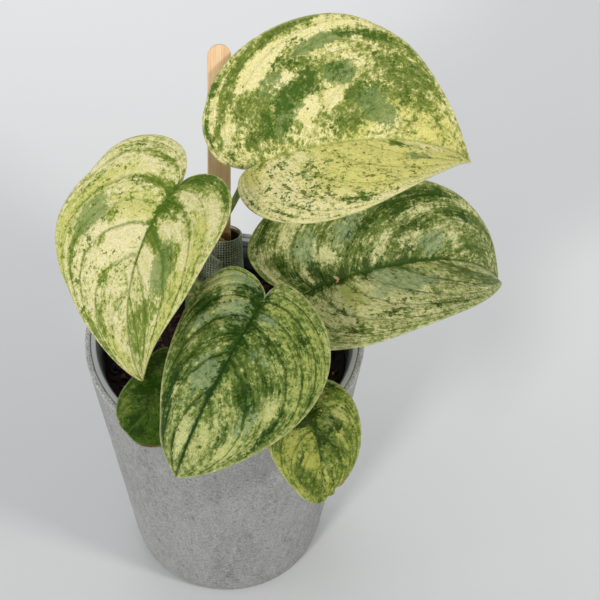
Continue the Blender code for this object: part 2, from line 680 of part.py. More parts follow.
def petiole_line(leaf):
    """Centres and radii of the petiole, which goes on under the blade as its raised midrib."""
    radius = leaf["petiole_radius"]
    stalk = smooth_path([*petiole_root(leaf), *leaf["petiole"], leaf["joint"]], 3)[:-1]
    radii = [radius] * len(stalk)
    radii[0] = radius * PETIOLE_SWELL
    for share in RIDGE_SHARES:
        thick = radius * (1.0 - RIDGE_TAPER * share)
        under = -thick - BLADE_THICKNESS / 2
        stalk.append(bent(leaf, "l", share * leaf["length"], NEARLY_ZERO, under))
        radii.append(thick)
    return stalk, radii


def make_leaf(name, leaf, collection):
    """A blade fused to its petiole."""
    finish = material("Blade_" + name, LEAF_COLOUR[name], 0.42)
    obj = mesh_object(name, blade_mesh(leaf), collection, finish)
    solidify = obj.modifiers.new("Thickness", "SOLIDIFY")
    solidify.thickness = BLADE_THICKNESS * MM
    solidify.offset = -1.0
    bake_modifiers(obj)
    points, radii = petiole_line(leaf)
    stalk = curve_to_mesh(tube_curve(name + "_stalk", points, radii, collection), collection)
    add_boolean(obj, "Petiole", "UNION", stalk)
    bake_modifiers(obj)
    bpy.data.objects.remove(stalk, do_unlink=True)
    return obj


def shade(obj):
    """Smooth shading with sharp edges where faces meet at a corner."""
    if obj.type == "MESH":
        obj.data.shade_smooth()
        obj.data.set_sharp_from_angle(angle=math.radians(35))


def build():
    clear_scene()
    plant = new_collection("satin_pothos")
    cutters = new_collection("cutters")
    cutters.hide_render = True
    make_outer_pot(plant)
    make_nursery_pot(plant, cutters)
    mouth = sleeve_frame()
    clearance = SLEEVE_RADIUS + SLEEVE_WALL + SLEEVE_LAP_GAP + GAP
    holes = [(mouth @ Vector((0, 0, -SLEEVE_LENGTH - GAP)), mouth @ Vector((0, 0, 0)), clearance)]
    for line, radius in STEMS.values():
        foot, collar = Vector(line[0]), Vector(line[2])
        run = (collar - foot).normalized()
        holes.append((foot - run * GAP, collar + run * STEM_HOLE_OVER, radius * NODE_SWELL + 2 * GAP))
    make_soil(plant, cutters, holes)
    make_sleeve(plant)
    make_lining(plant)
    make_core(plant, cutters)
    make_stick(plant)
    bark = material("Green_stem_skin", "6E7F3A", 0.6)
    make_stem("vine_stem", STEM_LINE, STEM_RADIUS, plant, bark)
    make_stem("side_shoot", SHOOT_LINE, SHOOT_RADIUS, plant, bark)
    for name, leaf in LEAVES.items():
        make_leaf(name, leaf, plant)
    for obj in plant.objects:
        shade(obj)


build()
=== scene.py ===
# %% [markdown]
# # A satin pothos in its pot
# The plant has six leaves on two stems. It grows in a plastic nursery pot that stands in an outer pot
# of grey stoneware, with a rolled sleeve of netting and a wooden label stick behind it.
# The frame brings the solid parts and their places. This lesson sets up the camera and the studio, and
# then gives each part its finer shape and its finish.

# %% The frame
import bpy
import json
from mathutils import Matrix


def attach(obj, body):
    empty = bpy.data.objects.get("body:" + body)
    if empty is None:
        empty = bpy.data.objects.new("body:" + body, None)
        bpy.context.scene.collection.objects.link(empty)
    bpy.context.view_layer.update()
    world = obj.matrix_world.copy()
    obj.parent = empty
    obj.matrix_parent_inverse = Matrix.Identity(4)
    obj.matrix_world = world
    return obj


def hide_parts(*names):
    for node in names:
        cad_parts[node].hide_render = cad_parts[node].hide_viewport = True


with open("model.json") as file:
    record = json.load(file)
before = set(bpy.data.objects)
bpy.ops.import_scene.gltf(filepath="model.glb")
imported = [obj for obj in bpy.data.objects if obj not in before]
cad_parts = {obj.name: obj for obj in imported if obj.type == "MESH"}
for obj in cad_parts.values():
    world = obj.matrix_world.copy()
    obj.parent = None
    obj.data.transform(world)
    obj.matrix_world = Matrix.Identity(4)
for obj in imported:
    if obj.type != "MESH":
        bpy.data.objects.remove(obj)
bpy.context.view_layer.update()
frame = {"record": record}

# %% Other tools
import json
import math
import random

import bmesh
import bpy
from mathutils import Matrix, Vector, noise

print("Blender", bpy.app.version_string)

# %% [markdown]
# ## The first helpers
# Every size of a shape is in millimetres, as a maker would measure it, and MM turns it into metres.
# Colours are written as sRGB hex values, as a colour card gives them. Shaders work with linear
# light, so one function converts them. Another adds a node with its settings and its links, and a
# third starts a material. A shader's own lengths are in metres, so a noise with lumps of so many
# millimetres has a scale of 1000 divided by them.

# %% Colour and node helpers
MM = 0.001


def linear(colour):
    """An sRGB hex colour as the linear RGBA value that a shader socket takes."""
    channels = [int(colour[i:i + 2], 16) / 255 for i in (0, 2, 4)]
    return (*(c / 12.92 if c <= 0.04045 else ((c + 0.055) / 1.055) ** 2.4 for c in channels), 1.0)


def add(tree, kind, sockets=None, output=None, **settings):
    """Adds a node and returns its output. Each socket gets a plain value or another node's output."""
    node = tree.nodes.new("ShaderNode" + kind)
    for name, value in settings.items():
        setattr(node, name, value)
    for key, value in (sockets or {}).items():
        if isinstance(value, bpy.types.NodeSocket):
            tree.links.new(value, node.inputs[key])
        else:
            node.inputs[key].default_value = value
    if output:
        return node.outputs[output]
    return next((socket for socket in node.outputs if socket.enabled), None)


def new_material(name, roughness, specular=0.5):
    """A Principled material, with its tree and its shader's inputs."""
    made = bpy.data.materials.new(name)
    made.use_nodes = True
    inputs = made.node_tree.nodes["Principled BSDF"].inputs
    inputs["Roughness"].default_value = roughness
    inputs["Specular IOR Level"].default_value = specular
    print("material", name)
    return made, made.node_tree, inputs


print("white is", linear("FFFFFF"))

# %% [markdown]
# ## Pieces
# A finished bmesh becomes a mesh in metres, and the mesh becomes a piece that rides with the pot and
# stands for its solid part.


# %% Piece helpers
def add_piece(name, mesh, node, slot, *materials):
    """Puts a finished mesh, in metres, in the place of a solid part."""
    mesh.name = name
    piece = bpy.data.objects.new(name, mesh)
    bpy.context.scene.collection.objects.link(piece)
    for made in materials:
        mesh.materials.append(made)
    mesh.shade_smooth()
    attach(piece, "root")
    if node:
        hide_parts(node)
    print(name, "has", len(mesh.polygons), "faces")
    return piece


def mesh_from(bm):
    """A mesh in metres from a bmesh in millimetres."""
    bmesh.ops.scale(bm, vec=(MM, MM, MM), verts=bm.verts)
    mesh = bpy.data.meshes.new("shape")
    bm.to_mesh(mesh)
    bm.free()
    return mesh


print("one millimetre is", MM, "metres")

# %% [markdown]
# ## The camera
# The photograph looks down on the plant from about 50 degrees above the horizon and from about a
# metre away. The long lens keeps the pot's sides nearly parallel. A camera's matrix holds its right,
# up and backward directions as columns, so they are written down and turned over.

# %% Camera
CAMERA_PLACE, CAMERA_LENS, SENSOR_WIDTH = (0.03352, -0.65598, 0.96306), 139.86, 36.0
CAMERA_AXES = Matrix(((0.9998, 0.0141, 0.0117), (-0.0183, 0.7704, 0.6373), (0.0, -0.6374, 0.7705)))
camera_data = bpy.data.cameras.new("camera")
camera_data.lens = CAMERA_LENS
camera_data.sensor_width = SENSOR_WIDTH
camera = bpy.data.objects.new("camera", camera_data)
camera.matrix_world = Matrix.Translation(CAMERA_PLACE) @ CAMERA_AXES.transposed().to_4x4()
bpy.context.scene.collection.objects.link(camera)
bpy.context.scene.camera = camera
print("lens", camera_data.lens, "mm")

# %% [markdown]
# ## The studio
# The plant stands on plain pale paper. Two softboxes stand in front of it, one on each side, so its
# two faint shadows run backwards to the right and to the left. A low one grazes the left side, one
# with a honeycomb lights the paper behind, and the white room gives the rest. The paper is one large
# sheet, and its colour is painted darker towards the front left, as painted shade.

# %% Paper floor
# Matt coated background paper, rolled. It gives the eye a slightly cool white with no shine, painted darker
# towards the front left as painted shade.
paper, tree, inputs = new_material("Matt_background_paper", 0.95, 0.1)
place = add(tree, "TexCoord", output="Object")
cloud = add(tree, "TexNoise", {"Vector": place, "Scale": 2.0, "Detail": 2.0})
# Painted shade: the paper's colour is painted darker towards the front left.
slope = add(tree, "VectorMath", {0: place, 1: (-0.6, -0.8, 0.0)}, "Value", operation="DOT_PRODUCT")
shade = add(tree, "MapRange", {"Value": slope, 1: -0.25, 2: 0.12}, interpolation_type="SMOOTHSTEP")
tone = add(tree, "Mix", {0: cloud, 6: linear("D9DBDD"), 7: linear("DDDFE1")}, data_type="RGBA")
tone = add(tree, "Mix", {0: shade, 6: tone, 7: linear("CCCFD1")}, data_type="RGBA")
tree.links.new(tone, inputs["Base Color"])

PAPER_HALF = 3000
bm = bmesh.new()
bmesh.ops.create_grid(bm, x_segments=8, y_segments=8, size=PAPER_HALF)
floor = bpy.data.objects.new("floor", mesh_from(bm))
floor.data.materials.append(paper)
bpy.context.scene.collection.objects.link(floor)
print("floor", floor.dimensions[:])


# %% Softboxes
def softbox(name, place, aim, size, power, colour, spread=180):
    """A square softbox that faces a point, in metres. A honeycomb narrows its spread, in degrees."""
    light = bpy.data.lights.new(name, "AREA")
    light.size = size
    light.energy = power
    light.spread = math.radians(spread)
    light.color = linear(colour)[:3]
    lamp = bpy.data.objects.new(name, light)
    direction = Vector(aim) - Vector(place)
    lamp.matrix_world = (Matrix.Translation(place)
                         @ direction.to_track_quat("-Z", "Y").to_matrix().to_4x4())
    bpy.context.scene.collection.objects.link(lamp)


PLANT_MIDDLE = (0.0, 0.0, 0.12)
softbox("softbox_left", (-0.82, -1.72, 1.5), PLANT_MIDDLE, 0.34, 19.0, "FFFBF4")
softbox("softbox_right", (1.6, -0.92, 1.5), PLANT_MIDDLE, 0.34, 17.0, "FFFBF4")
softbox("softbox_low", (-1.3, -0.25, 0.26), (0.0, 0.0, 0.1), 0.5, 3.4, "FFFDFA")
softbox("softbox_back", (-0.25, 0.85, 1.0), (-0.17, 0.66, 0.0), 0.7, 1.6, "FFFFFF", 95)
world = bpy.data.worlds.new("studio")
world.use_nodes = True
world.node_tree.nodes["Background"].inputs["Color"].default_value = linear("EDEEF0")
world.node_tree.nodes["Background"].inputs["Strength"].default_value = 0.55
bpy.context.scene.world = world
bpy.context.scene.view_settings.view_transform = "Standard"
print("lights", len(bpy.data.lights))

# %% [markdown]
# ## The outer pot
# It is cast stoneware with a dry, cement-like skin: mid grey, with dark and pale grains under a
# millimetre across, and faint upright blotches where the slip ran down the mould. A pot like this is
# made on a turning axis, so its profile is drawn once as points, from straight stretches, arcs and
# curves, and spun round. The wall is given a very slight unevenness, because a cast wall is never a
# perfect cone.

# %% Stoneware
# Unglazed cast stoneware, sanded. It gives the eye a matt, sugary grey with fine dark speckle.
stoneware, tree, inputs = new_material("Unglazed_cast_stoneware", 0.9, 0.25)
place = add(tree, "TexCoord", output="Object")
upright = add(tree, "Mapping", {"Vector": place, "Scale": (1.0, 1.0, 0.28)})
# Blotches 14 mm wide and clouds of 3 mm, both about four times as tall, then grains of 0.8 mm and
# specks of 1.6 mm.
blotch = add(tree, "TexNoise", {"Vector": upright, "Scale": 1000 / 14, "Detail": 4.0, "Roughness": 0.6})
cloud = add(tree, "TexNoise", {"Vector": upright, "Scale": 1000 / 3, "Detail": 5.0, "Roughness": 0.7})
grain = add(tree, "TexNoise", {"Vector": place, "Scale": 1000 / 0.8, "Detail": 3.0, "Roughness": 0.8})
specks = add(tree, "TexNoise", {"Vector": place, "Scale": 1000 / 1.6, "Detail": 1.0})
blotch_mask = add(tree, "MapRange", {"Value": blotch, 1: 0.38, 2: 0.66})
cloud_mask = add(tree, "MapRange", {"Value": cloud, 1: 0.35, 2: 0.68})
grain_mask = add(tree, "MapRange", {"Value": grain, 1: 0.36, 2: 0.64})
speck_mask = add(tree, "MapRange", {"Value": specks, 1: 0.62, 2: 0.70})
tone = add(tree, "Mix", {0: blotch_mask, 6: linear("A6A6A4"), 7: linear("7A7B7E")}, data_type="RGBA")
tone = add(tree, "Mix", {0: cloud_mask, 6: tone, 7: linear("B6B6B4")}, data_type="RGBA")
sand = add(tree, "Mix", {0: grain_mask, 6: linear("5E5F61"), 7: linear("D6D6D4")}, data_type="RGBA")
tone = add(tree, "Mix", {0: 0.48, 6: tone, 7: sand}, data_type="RGBA")
dark_share = add(tree, "Math", {0: speck_mask, 1: 0.42}, operation="MULTIPLY")
tone = add(tree, "Mix", {0: dark_share, 6: tone, 7: linear("444446")}, data_type="RGBA")
# The top of the rim is painted paler, as a painted highlight, with a border that the clouds and the grain
# make uneven.
height = add(tree, "SeparateXYZ", {0: place}, "Z")
painted_rim_highlight = add(tree, "Math", {0: cloud, 1: 0.006, 2: height}, operation="MULTIPLY_ADD")
painted_rim_highlight = add(tree, "MapRange", {"Value": painted_rim_highlight, 1: 0.1432, 2: 0.1462, 4: 0.6})
painted_rim_highlight = add(tree, "Math", {0: painted_rim_highlight, 1: grain_mask}, operation="MULTIPLY")
tone = add(tree, "Mix", {0: painted_rim_highlight, 6: tone, 7: linear("F0F0EE")}, data_type="RGBA")
tree.links.new(tone, inputs["Base Color"])
relief = add(tree, "Bump", {"Height": grain_mask, "Strength": 0.6, "Distance": 0.0004})
relief = add(tree, "Bump", {"Height": cloud_mask, "Strength": 0.25, "Distance": 0.0008, "Normal": relief})
tree.links.new(relief, inputs["Normal"])


# %% Profile helpers
def turned(profile, steps, ripple=None):
    """A wall turned about Z from (radius, height) points, from the middle of one face to the other."""
    bm = bmesh.new()
    verts = [bm.verts.new((radius, 0.0, height)) for radius, height in profile]
    edges = [bm.edges.new(pair) for pair in zip(verts, verts[1:])]
    bmesh.ops.spin(bm, geom=verts + edges, cent=(0, 0, 0), axis=(0, 0, 1), angle=2 * math.pi,
                   steps=steps, use_merge=True)
    bmesh.ops.remove_doubles(bm, verts=bm.verts, dist=0.0001)
    bmesh.ops.recalc_face_normals(bm, faces=bm.faces)
    if ripple:
        for vert in bm.verts:
            vert.co += ripple(vert.co)
    return mesh_from(bm)


def between(start, end, steps):
    """Evenly spaced points from start up to, but not at, end."""
    return [tuple(a + (b - a) * i / steps for a, b in zip(start, end)) for i in range(steps)]


def arc(centre, radius, start, end, steps):
    """Points round an arc in the profile's plane, with angles in degrees."""
    angles = [math.radians(start + (end - start) * i / steps) for i in range(steps + 1)]
    return [(centre[0] + radius * math.cos(a), centre[1] + radius * math.sin(a)) for a in angles]


def cubic(points, steps):
    """Points of a cubic Bezier curve, without its last one."""
    result = []
    for i in range(steps):
        t = i / steps
        weights = ((1 - t) ** 3, 3 * (1 - t) ** 2 * t, 3 * (1 - t) * t * t, t ** 3)
        result.append(tuple(sum(w * p[k] for w, p in zip(weights, points)) for k in (0, 1)))
    return result


print("a quarter round in 4 steps has", len(arc((0, 0), 1, 0, 90, 4)), "points")

# %% Outer pot
POT_HEIGHT, POT_RIM_RADIUS, POT_RIM_INNER, POT_WALL, POT_FLOOR = 143.0, 63.0, 60.5, 3.0, 4.0
FOOT_RADIUS, FOOT_HEIGHT, BASE_RADIUS, FOOT_HANDLE = 47.3, 21.0, 41.8, 3.0
RIM_ROUNDING, RIM_INNER_ROUNDING = 0.9, 0.6
UNEVENNESS, WAVE_ROUND, WAVE_UP = 0.12, 7, 11


def cast_unevenness(co):
    """A tenth of a millimetre of waviness, square to the wall."""
    away = Vector((co.x, co.y, 0.0))
    if away.length < 5 or co.z < 1:
        return Vector((0.0, 0.0, 0.0))
    where = Vector((co.x / WAVE_ROUND, co.y / WAVE_ROUND, co.z / WAVE_UP))
    return away.normalized() * UNEVENNESS * noise.noise(where)


slope = (POT_RIM_RADIUS - FOOT_RADIUS) / (POT_HEIGHT - FOOT_HEIGHT)
handle = 0.55 * FOOT_HEIGHT
profile = [(0.0, 0.0), (BASE_RADIUS - 6, 0.0), (BASE_RADIUS - 0.4, 0.0)]
profile += cubic(((BASE_RADIUS, 0.0), (BASE_RADIUS + FOOT_HANDLE, 0.0),
                  (FOOT_RADIUS - slope * handle, FOOT_HEIGHT - handle), (FOOT_RADIUS, FOOT_HEIGHT)), 12)
profile += between((FOOT_RADIUS, FOOT_HEIGHT), (POT_RIM_RADIUS, POT_HEIGHT - RIM_ROUNDING), 40)
profile += arc((POT_RIM_RADIUS - RIM_ROUNDING, POT_HEIGHT - RIM_ROUNDING), RIM_ROUNDING, 0, 90, 5)
profile += arc((POT_RIM_INNER + RIM_INNER_ROUNDING, POT_HEIGHT - RIM_INNER_ROUNDING),
               RIM_INNER_ROUNDING, 90, 180, 4)
profile += between((POT_RIM_INNER, POT_HEIGHT - 2 * RIM_INNER_ROUNDING),
                   (FOOT_RADIUS - POT_WALL, FOOT_HEIGHT), 10)
profile += [(FOOT_RADIUS - POT_WALL, FOOT_HEIGHT), (BASE_RADIUS - POT_WALL, POT_FLOOR), (0.0, POT_FLOOR)]
add_piece("cast_pot", turned(profile, 144, cast_unevenness), "outer_pot", "stoneware", stoneware)

# %% [markdown]
# ## The nursery pot
# A nursery pot is moulded from thin polypropylene. Seen from above it shows a rounded lip with a
# painted highlight along its top, a painted dark line of shade where the lip steps down to a paler
# collar, a narrow stacking ledge and then the inside wall, painted darker as painted shade. It has
# drain holes underneath, in its solid part, where the outer pot hides them, so the turned wall simply
# runs down to a closed floor.

# %% Polypropylene
# Injection-moulded polypropylene, recycled grey. It gives the eye a soft, waxy shine with dust on it.
plastic, tree, inputs = new_material("Moulded_recycled_polypropylene", 0.42, 0.5)
place = add(tree, "TexCoord", output="Object")
height = add(tree, "SeparateXYZ", {"Vector": place}, output="Z")
# Painted shade: the inside wall is painted near black below the lip.
painted_inner_shade = add(tree, "MapRange", {"Value": height, 1: 0.1335, 2: 0.1385})
# Painted highlight: a thin pale band along the top of the lip.
edge = add(tree, "MapRange", {"Value": height, 1: 0.1423, 2: 0.1428, 4: 0.7})
# Painted shade: a thin dark line at the step under the lip.
painted_step_shade = add(tree, "Math", {0: height, 1: 0.1402, 2: 0.0003}, operation="COMPARE")
dust = add(tree, "TexNoise", {"Vector": place, "Scale": 1000 / 6, "Detail": 8.0, "Roughness": 0.75})
scuff = add(tree, "TexNoise", {"Vector": place, "Scale": 1000 / 1.2, "Detail": 3.0})
dust_mask = add(tree, "MapRange", {"Value": dust, 1: 0.42, 2: 0.7})
tone = add(tree, "Mix", {0: painted_inner_shade, 6: linear("1C1D1E"), 7: linear("82888D")}, data_type="RGBA")
tone = add(tree, "Mix", {0: edge, 6: tone, 7: linear("C6C8C9")}, data_type="RGBA")
tone = add(tree, "Mix", {0: painted_step_shade, 6: tone, 7: linear("3A3D40")}, data_type="RGBA")
dust_share = add(tree, "Math", {0: dust_mask, 1: 0.22}, operation="MULTIPLY")
tone = add(tree, "Mix", {0: dust_share, 6: tone, 7: linear("A8A9A6")}, data_type="RGBA")
tree.links.new(tone, inputs["Base Color"])
wear = add(tree, "MapRange", {"Value": dust, 1: 0.3, 2: 0.7, 3: 0.34, 4: 0.62})
tree.links.new(wear, inputs["Roughness"])
relief = add(tree, "Bump", {"Height": scuff, "Strength": 0.15, "Distance": 0.0002})
tree.links.new(relief, inputs["Normal"])

# %% Nursery pot
LINER_FLOOR, LINER_WALL, LINER_TOP = 4.3, 1.0, 142.8
LINER_BASE_RADIUS, LINER_TOP_RADIUS, LIP_RADIUS, LIP_DEPTH = 38.5, 57.9, 60.4, 2.6
LEDGE_HEIGHT, LEDGE_DROP, COLLAR_THIN, LEDGE_THIN = 134.5, 0.3, 0.75, 0.7
LIP_ROUNDING, LIP_INNER_ROUNDING, LIP_EDGE = 0.7, 0.5, 0.3


def liner_radius(height):
    """Outer radius of the nursery pot's wall at a height."""
    share = (height - LINER_FLOOR) / (LINER_TOP - LINER_FLOOR)
    return LINER_BASE_RADIUS + share * (LINER_TOP_RADIUS - LINER_BASE_RADIUS)


lip_low = LINER_TOP - LIP_DEPTH
ledge, low = LEDGE_HEIGHT, LINER_FLOOR + LINER_WALL
profile = [(0.0, LINER_FLOOR)]
profile += between((LINER_BASE_RADIUS, LINER_FLOOR), (liner_radius(lip_low), lip_low), 12)
profile += [(liner_radius(lip_low), lip_low), (LIP_RADIUS - LIP_EDGE, lip_low),
            (LIP_RADIUS, lip_low + LIP_EDGE)]
profile += arc((LIP_RADIUS - LIP_ROUNDING, LINER_TOP - LIP_ROUNDING), LIP_ROUNDING, 0, 90, 5)
profile += arc((LINER_TOP_RADIUS + LIP_INNER_ROUNDING, LINER_TOP - LIP_INNER_ROUNDING),
               LIP_INNER_ROUNDING, 90, 160, 4)
profile += between((liner_radius(lip_low) - COLLAR_THIN, lip_low),
                   (liner_radius(ledge) - LEDGE_THIN, ledge), 4)
profile += [(liner_radius(ledge) - LEDGE_THIN, ledge), (liner_radius(ledge) - LINER_WALL, ledge - LEDGE_DROP)]
profile += between((liner_radius(ledge - 1) - LINER_WALL, ledge - 1),
                   (liner_radius(low) - LINER_WALL, low), 12)
profile += [(liner_radius(low) - LINER_WALL, low), (0.0, low)]
add_piece("plastic_pot", turned(profile, 128), "nursery_pot", "pot_plastic", plastic)

# %% [markdown]
# ## The potting mix
# Damp peat is nearly black. Pieces of pine bark, red-brown and tan, lie in its surface with smaller
# crumbs. The surface is a grid bent into a disc, whose points are lifted by noise, and each chip is a
# cube whose corners are moved by chance and then bevelled, so hundreds of them stay light.

# %% Peat and bark materials
# Damp sphagnum peat, screened. It gives the eye a crumbly near-black that swallows light.
peat, tree, inputs = new_material("Damp_screened_peat", 0.9, 0.3)
place = add(tree, "TexCoord", output="Object")
crumb = add(tree, "TexNoise", {"Vector": place, "Scale": 1000 / 2.5, "Detail": 8.0, "Roughness": 0.75})
crumb_mask = add(tree, "MapRange", {"Value": crumb, 1: 0.4, 2: 0.7})
tone = add(tree, "Mix", {0: crumb_mask, 6: linear("0A0706"), 7: linear("241912")}, data_type="RGBA")
tree.links.new(tone, inputs["Base Color"])
relief = add(tree, "Bump", {"Height": crumb, "Strength": 0.8, "Distance": 0.001})
tree.links.new(relief, inputs["Normal"])

# Composted pine bark, chipped. Each chip keeps one colour between near-black and tan, with fibre lines.
bark, tree, inputs = new_material("Composted_pine_bark", 0.8, 0.35)
place = add(tree, "TexCoord", output="Object")
tone_of_chip = add(tree, "Attribute", output="Fac", attribute_name="tone")
fibre = add(tree, "TexNoise", {"Vector": place, "Scale": 1000 / 1.5, "Detail": 6.0, "Roughness": 0.7})
red = add(tree, "MapRange", {"Value": tone_of_chip, 1: 0.35, 2: 0.8})
tan = add(tree, "MapRange", {"Value": tone_of_chip, 1: 0.86, 2: 1.0})
tone = add(tree, "Mix", {0: red, 6: linear("150D09"), 7: linear("5C3019")}, data_type="RGBA")
tone = add(tree, "Mix", {0: tan, 6: tone, 7: linear("B08A60")}, data_type="RGBA")
shade = add(tree, "MapRange", {"Value": fibre, 1: 0.3, 2: 0.7, 3: 0.45, 4: 1.3})
shaded = add(tree, "VectorMath", {0: tone, 1: shade}, operation="MULTIPLY")
tree.links.new(shaded, inputs["Base Color"])
relief = add(tree, "Bump", {"Height": fibre, "Strength": 0.5, "Distance": 0.0005})
tree.links.new(relief, inputs["Normal"])

# %% Soil surface
SOIL_HEIGHT, SOIL_RELIEF, SOIL_CRUMB, SOIL_CLEAR = 127.0, 1.6, 9.0, 0.3
SOIL_RADIUS = liner_radius(SOIL_HEIGHT) - LINER_WALL - SOIL_CLEAR
SOIL_BOTTOM = LINER_FLOOR + LINER_WALL + SOIL_CLEAR
LUMP, SMALL_LUMP, LUMP_RISE = 2.4, 1.1, 0.5
SOIL_ROUND, SOIL_RINGS = 180, 64


def soil_height(x, y):
    """Height of the crumbly surface over a point of the pot."""
    coarse = noise.noise(Vector((x, y, 0.0)) / (3 * SOIL_CRUMB))
    fine = noise.noise(Vector((x, y, 40.0)) / SOIL_CRUMB)
    return SOIL_HEIGHT + SOIL_RELIEF * (1.2 * coarse + fine)


bm = bmesh.new()
bmesh.ops.create_grid(bm, x_segments=SOIL_ROUND, y_segments=SOIL_RINGS, size=1.0)
for vert in bm.verts:
    angle = math.pi * vert.co.x
    radius = SOIL_RADIUS * (1 - vert.co.y) / 2
    x, y = radius * math.cos(angle), radius * math.sin(angle)
    lumps = noise.noise(Vector((x, y, 9.0)) / LUMP) + 0.6 * noise.noise(Vector((x, y, 5.0)) / SMALL_LUMP)
    vert.co = Vector((x, y, soil_height(x, y) + LUMP_RISE * lumps))
bmesh.ops.remove_doubles(bm, verts=bm.verts, dist=0.0001)
rim_edges = [edge for edge in bm.edges if edge.is_boundary]
skirt = bmesh.ops.extrude_edge_only(bm, edges=rim_edges)["geom"]
shrink = (liner_radius(SOIL_BOTTOM) - LINER_WALL - SOIL_CLEAR) / SOIL_RADIUS
for vert in (item for item in skirt if isinstance(item, bmesh.types.BMVert)):
    vert.co = Vector((vert.co.x * shrink, vert.co.y * shrink, SOIL_BOTTOM))
bmesh.ops.holes_fill(bm, edges=[edge for edge in bm.edges if edge.is_boundary], sides=0)
bmesh.ops.recalc_face_normals(bm, faces=bm.faces)
add_piece("peat_fill", mesh_from(bm), "potting_soil", "potting_mix", peat)

# %% Bark chips and crumbs
BARK_PIECES, BARK_SEED, BARK_FROM_WALL = 26, 7, 9.0
BARK_LENGTH, BARK_BREADTH, BARK_DEPTH, BARK_TILT = (7.0, 12.0), (4.0, 7.0), (1.8, 2.8), 14.0
CRUMBS, CRUMB_SEED, CRUMB_FROM_WALL, CRUMB_LENGTH = 900, 21, 2.5, (1.0, 3.6)
CORNER_SHIFT, CHIP_BEVEL = 0.13, 0.16


def chip(bm, place, turn, tilt, size, tone, layer, chance):
    """One bevelled chip whose corners are moved by chance."""
    pose = Matrix.Translation(place) @ turn @ tilt @ Matrix.Diagonal((*size, 1.0))
    made = bmesh.ops.create_cube(bm, size=1.0, matrix=pose)["verts"]
    for vert in made:
        vert.co += Vector([chance.uniform(-CORNER_SHIFT, CORNER_SHIFT) * side for side in size])
    edges = list({edge for vert in made for edge in vert.link_edges})
    bevelled = bmesh.ops.bevel(bm, geom=edges, offset=CHIP_BEVEL * min(size), segments=1, profile=0.5,
                               affect="EDGES", material=-1)
    for vert in bevelled["verts"]:
        vert[layer] = tone


bm = bmesh.new()
layer = bm.verts.layers.float.new("tone")
chance = random.Random(BARK_SEED)
detail = random.Random(CRUMB_SEED)
reach = liner_radius(SOIL_HEIGHT) - BARK_FROM_WALL
for _ in range(BARK_PIECES):
    radius = reach * math.sqrt(chance.uniform(0.05, 1.0))
    angle = chance.uniform(0, 2 * math.pi)
    x, y = radius * math.cos(angle), radius * math.sin(angle)
    size = (chance.uniform(*BARK_LENGTH), chance.uniform(*BARK_BREADTH), chance.uniform(*BARK_DEPTH))
    tilt = Matrix.Rotation(math.radians(chance.uniform(-BARK_TILT, BARK_TILT)), 4, "X")
    turn = Matrix.Rotation(chance.uniform(0, math.pi), 4, "Z")
    place = Vector((x, y, soil_height(x, y) + 0.3))
    chip(bm, place, turn, tilt, size, detail.uniform(0.35, 0.9), layer, detail)
for _ in range(CRUMBS):
    radius = (SOIL_RADIUS - CRUMB_FROM_WALL) * math.sqrt(detail.random())
    angle = detail.uniform(0, 2 * math.pi)
    x, y = radius * math.cos(angle), radius * math.sin(angle)
    length = detail.uniform(*CRUMB_LENGTH)
    size = (length, length * detail.uniform(0.4, 0.9), length * detail.uniform(0.25, 0.5))
    tilt = Matrix.Rotation(detail.uniform(-0.7, 0.7), 4, "X")
    turn = Matrix.Rotation(detail.uniform(0, math.pi), 4, "Z")
    place = Vector((x, y, soil_height(x, y) + 0.35))
    chip(bm, place, turn, tilt, size, detail.random() ** 1.3, layer, detail)
add_piece("bark_chips", mesh_from(bm), "potting_soil", "potting_mix", bark)

# %% [markdown]
# ## Paths and round threads
# Stems, petioles, fibres and threads are all round rods along a path. A curve with a bevel makes such
# a rod with one radius at each point. It is turned into a mesh straight away, so that its place is in
# its points.


# %% Path and rod helpers
def smooth_path(points, steps):
    """Points on a smooth curve through the given ones, with each tangent as long as its stretch."""
    path = [Vector(p) for p in points]
    ways = [(b - a).normalized() for a, b in zip(path, path[1:])]
    tangents = [ways[0]] + [(a + b).normalized() for a, b in zip(ways, ways[1:])] + [ways[-1]]
    result = []
    for start, end, leave, arrive in zip(path, path[1:], tangents, tangents[1:]):
        span = (end - start).length
        for i in range(steps):
            t = i / steps
            result.append(start * (2 * t ** 3 - 3 * t ** 2 + 1) + leave * span * (t ** 3 - 2 * t ** 2 + t)
                          + end * (3 * t ** 2 - 2 * t ** 3) + arrive * span * (t ** 3 - t ** 2))
    result.append(path[-1])
    return result


def rods(lines, sides):
    """A mesh of round rods, one along each line of (place, radius) points."""
    data = bpy.data.curves.new("rods", "CURVE")
    data.dimensions = "3D"
    data.bevel_depth = MM
    data.bevel_resolution = sides // 2 - 2  # a resolution of n gives 2n + 4 sides
    data.use_fill_caps = True
    for line in lines:
        spline = data.splines.new("POLY")
        spline.points.add(len(line) - 1)
        for knot, (place, radius) in zip(spline.points, line):
            knot.co = (*(Vector(place) * MM), 1.0)
            knot.radius = radius
    curve = bpy.data.objects.new("rods", data)
    bpy.context.scene.collection.objects.link(curve)
    bpy.context.view_layer.update()
    graph = bpy.context.evaluated_depsgraph_get()
    mesh = bpy.data.meshes.new_from_object(curve.evaluated_get(graph))
    bpy.data.objects.remove(curve, do_unlink=True)
    bm = bmesh.new()
    bm.from_mesh(mesh)
    bmesh.ops.remove_doubles(bm, verts=bm.verts, dist=0.000001)
    bm.to_mesh(mesh)
    bm.free()
    return mesh


corner = smooth_path(((0, 0, 0), (1, 0, 0), (1, 1, 0)), 8)
print("a path round one corner has", len(corner), "points")

# %% [markdown]
# ## The netting sleeve
# The sleeve is a strip of woven netting, rolled once round, with its free edge lapped over. At this
# size the eye sees single threads about a millimetre apart, so the weave is real: upright threads and
# cross threads that pass over and under each other by turns.

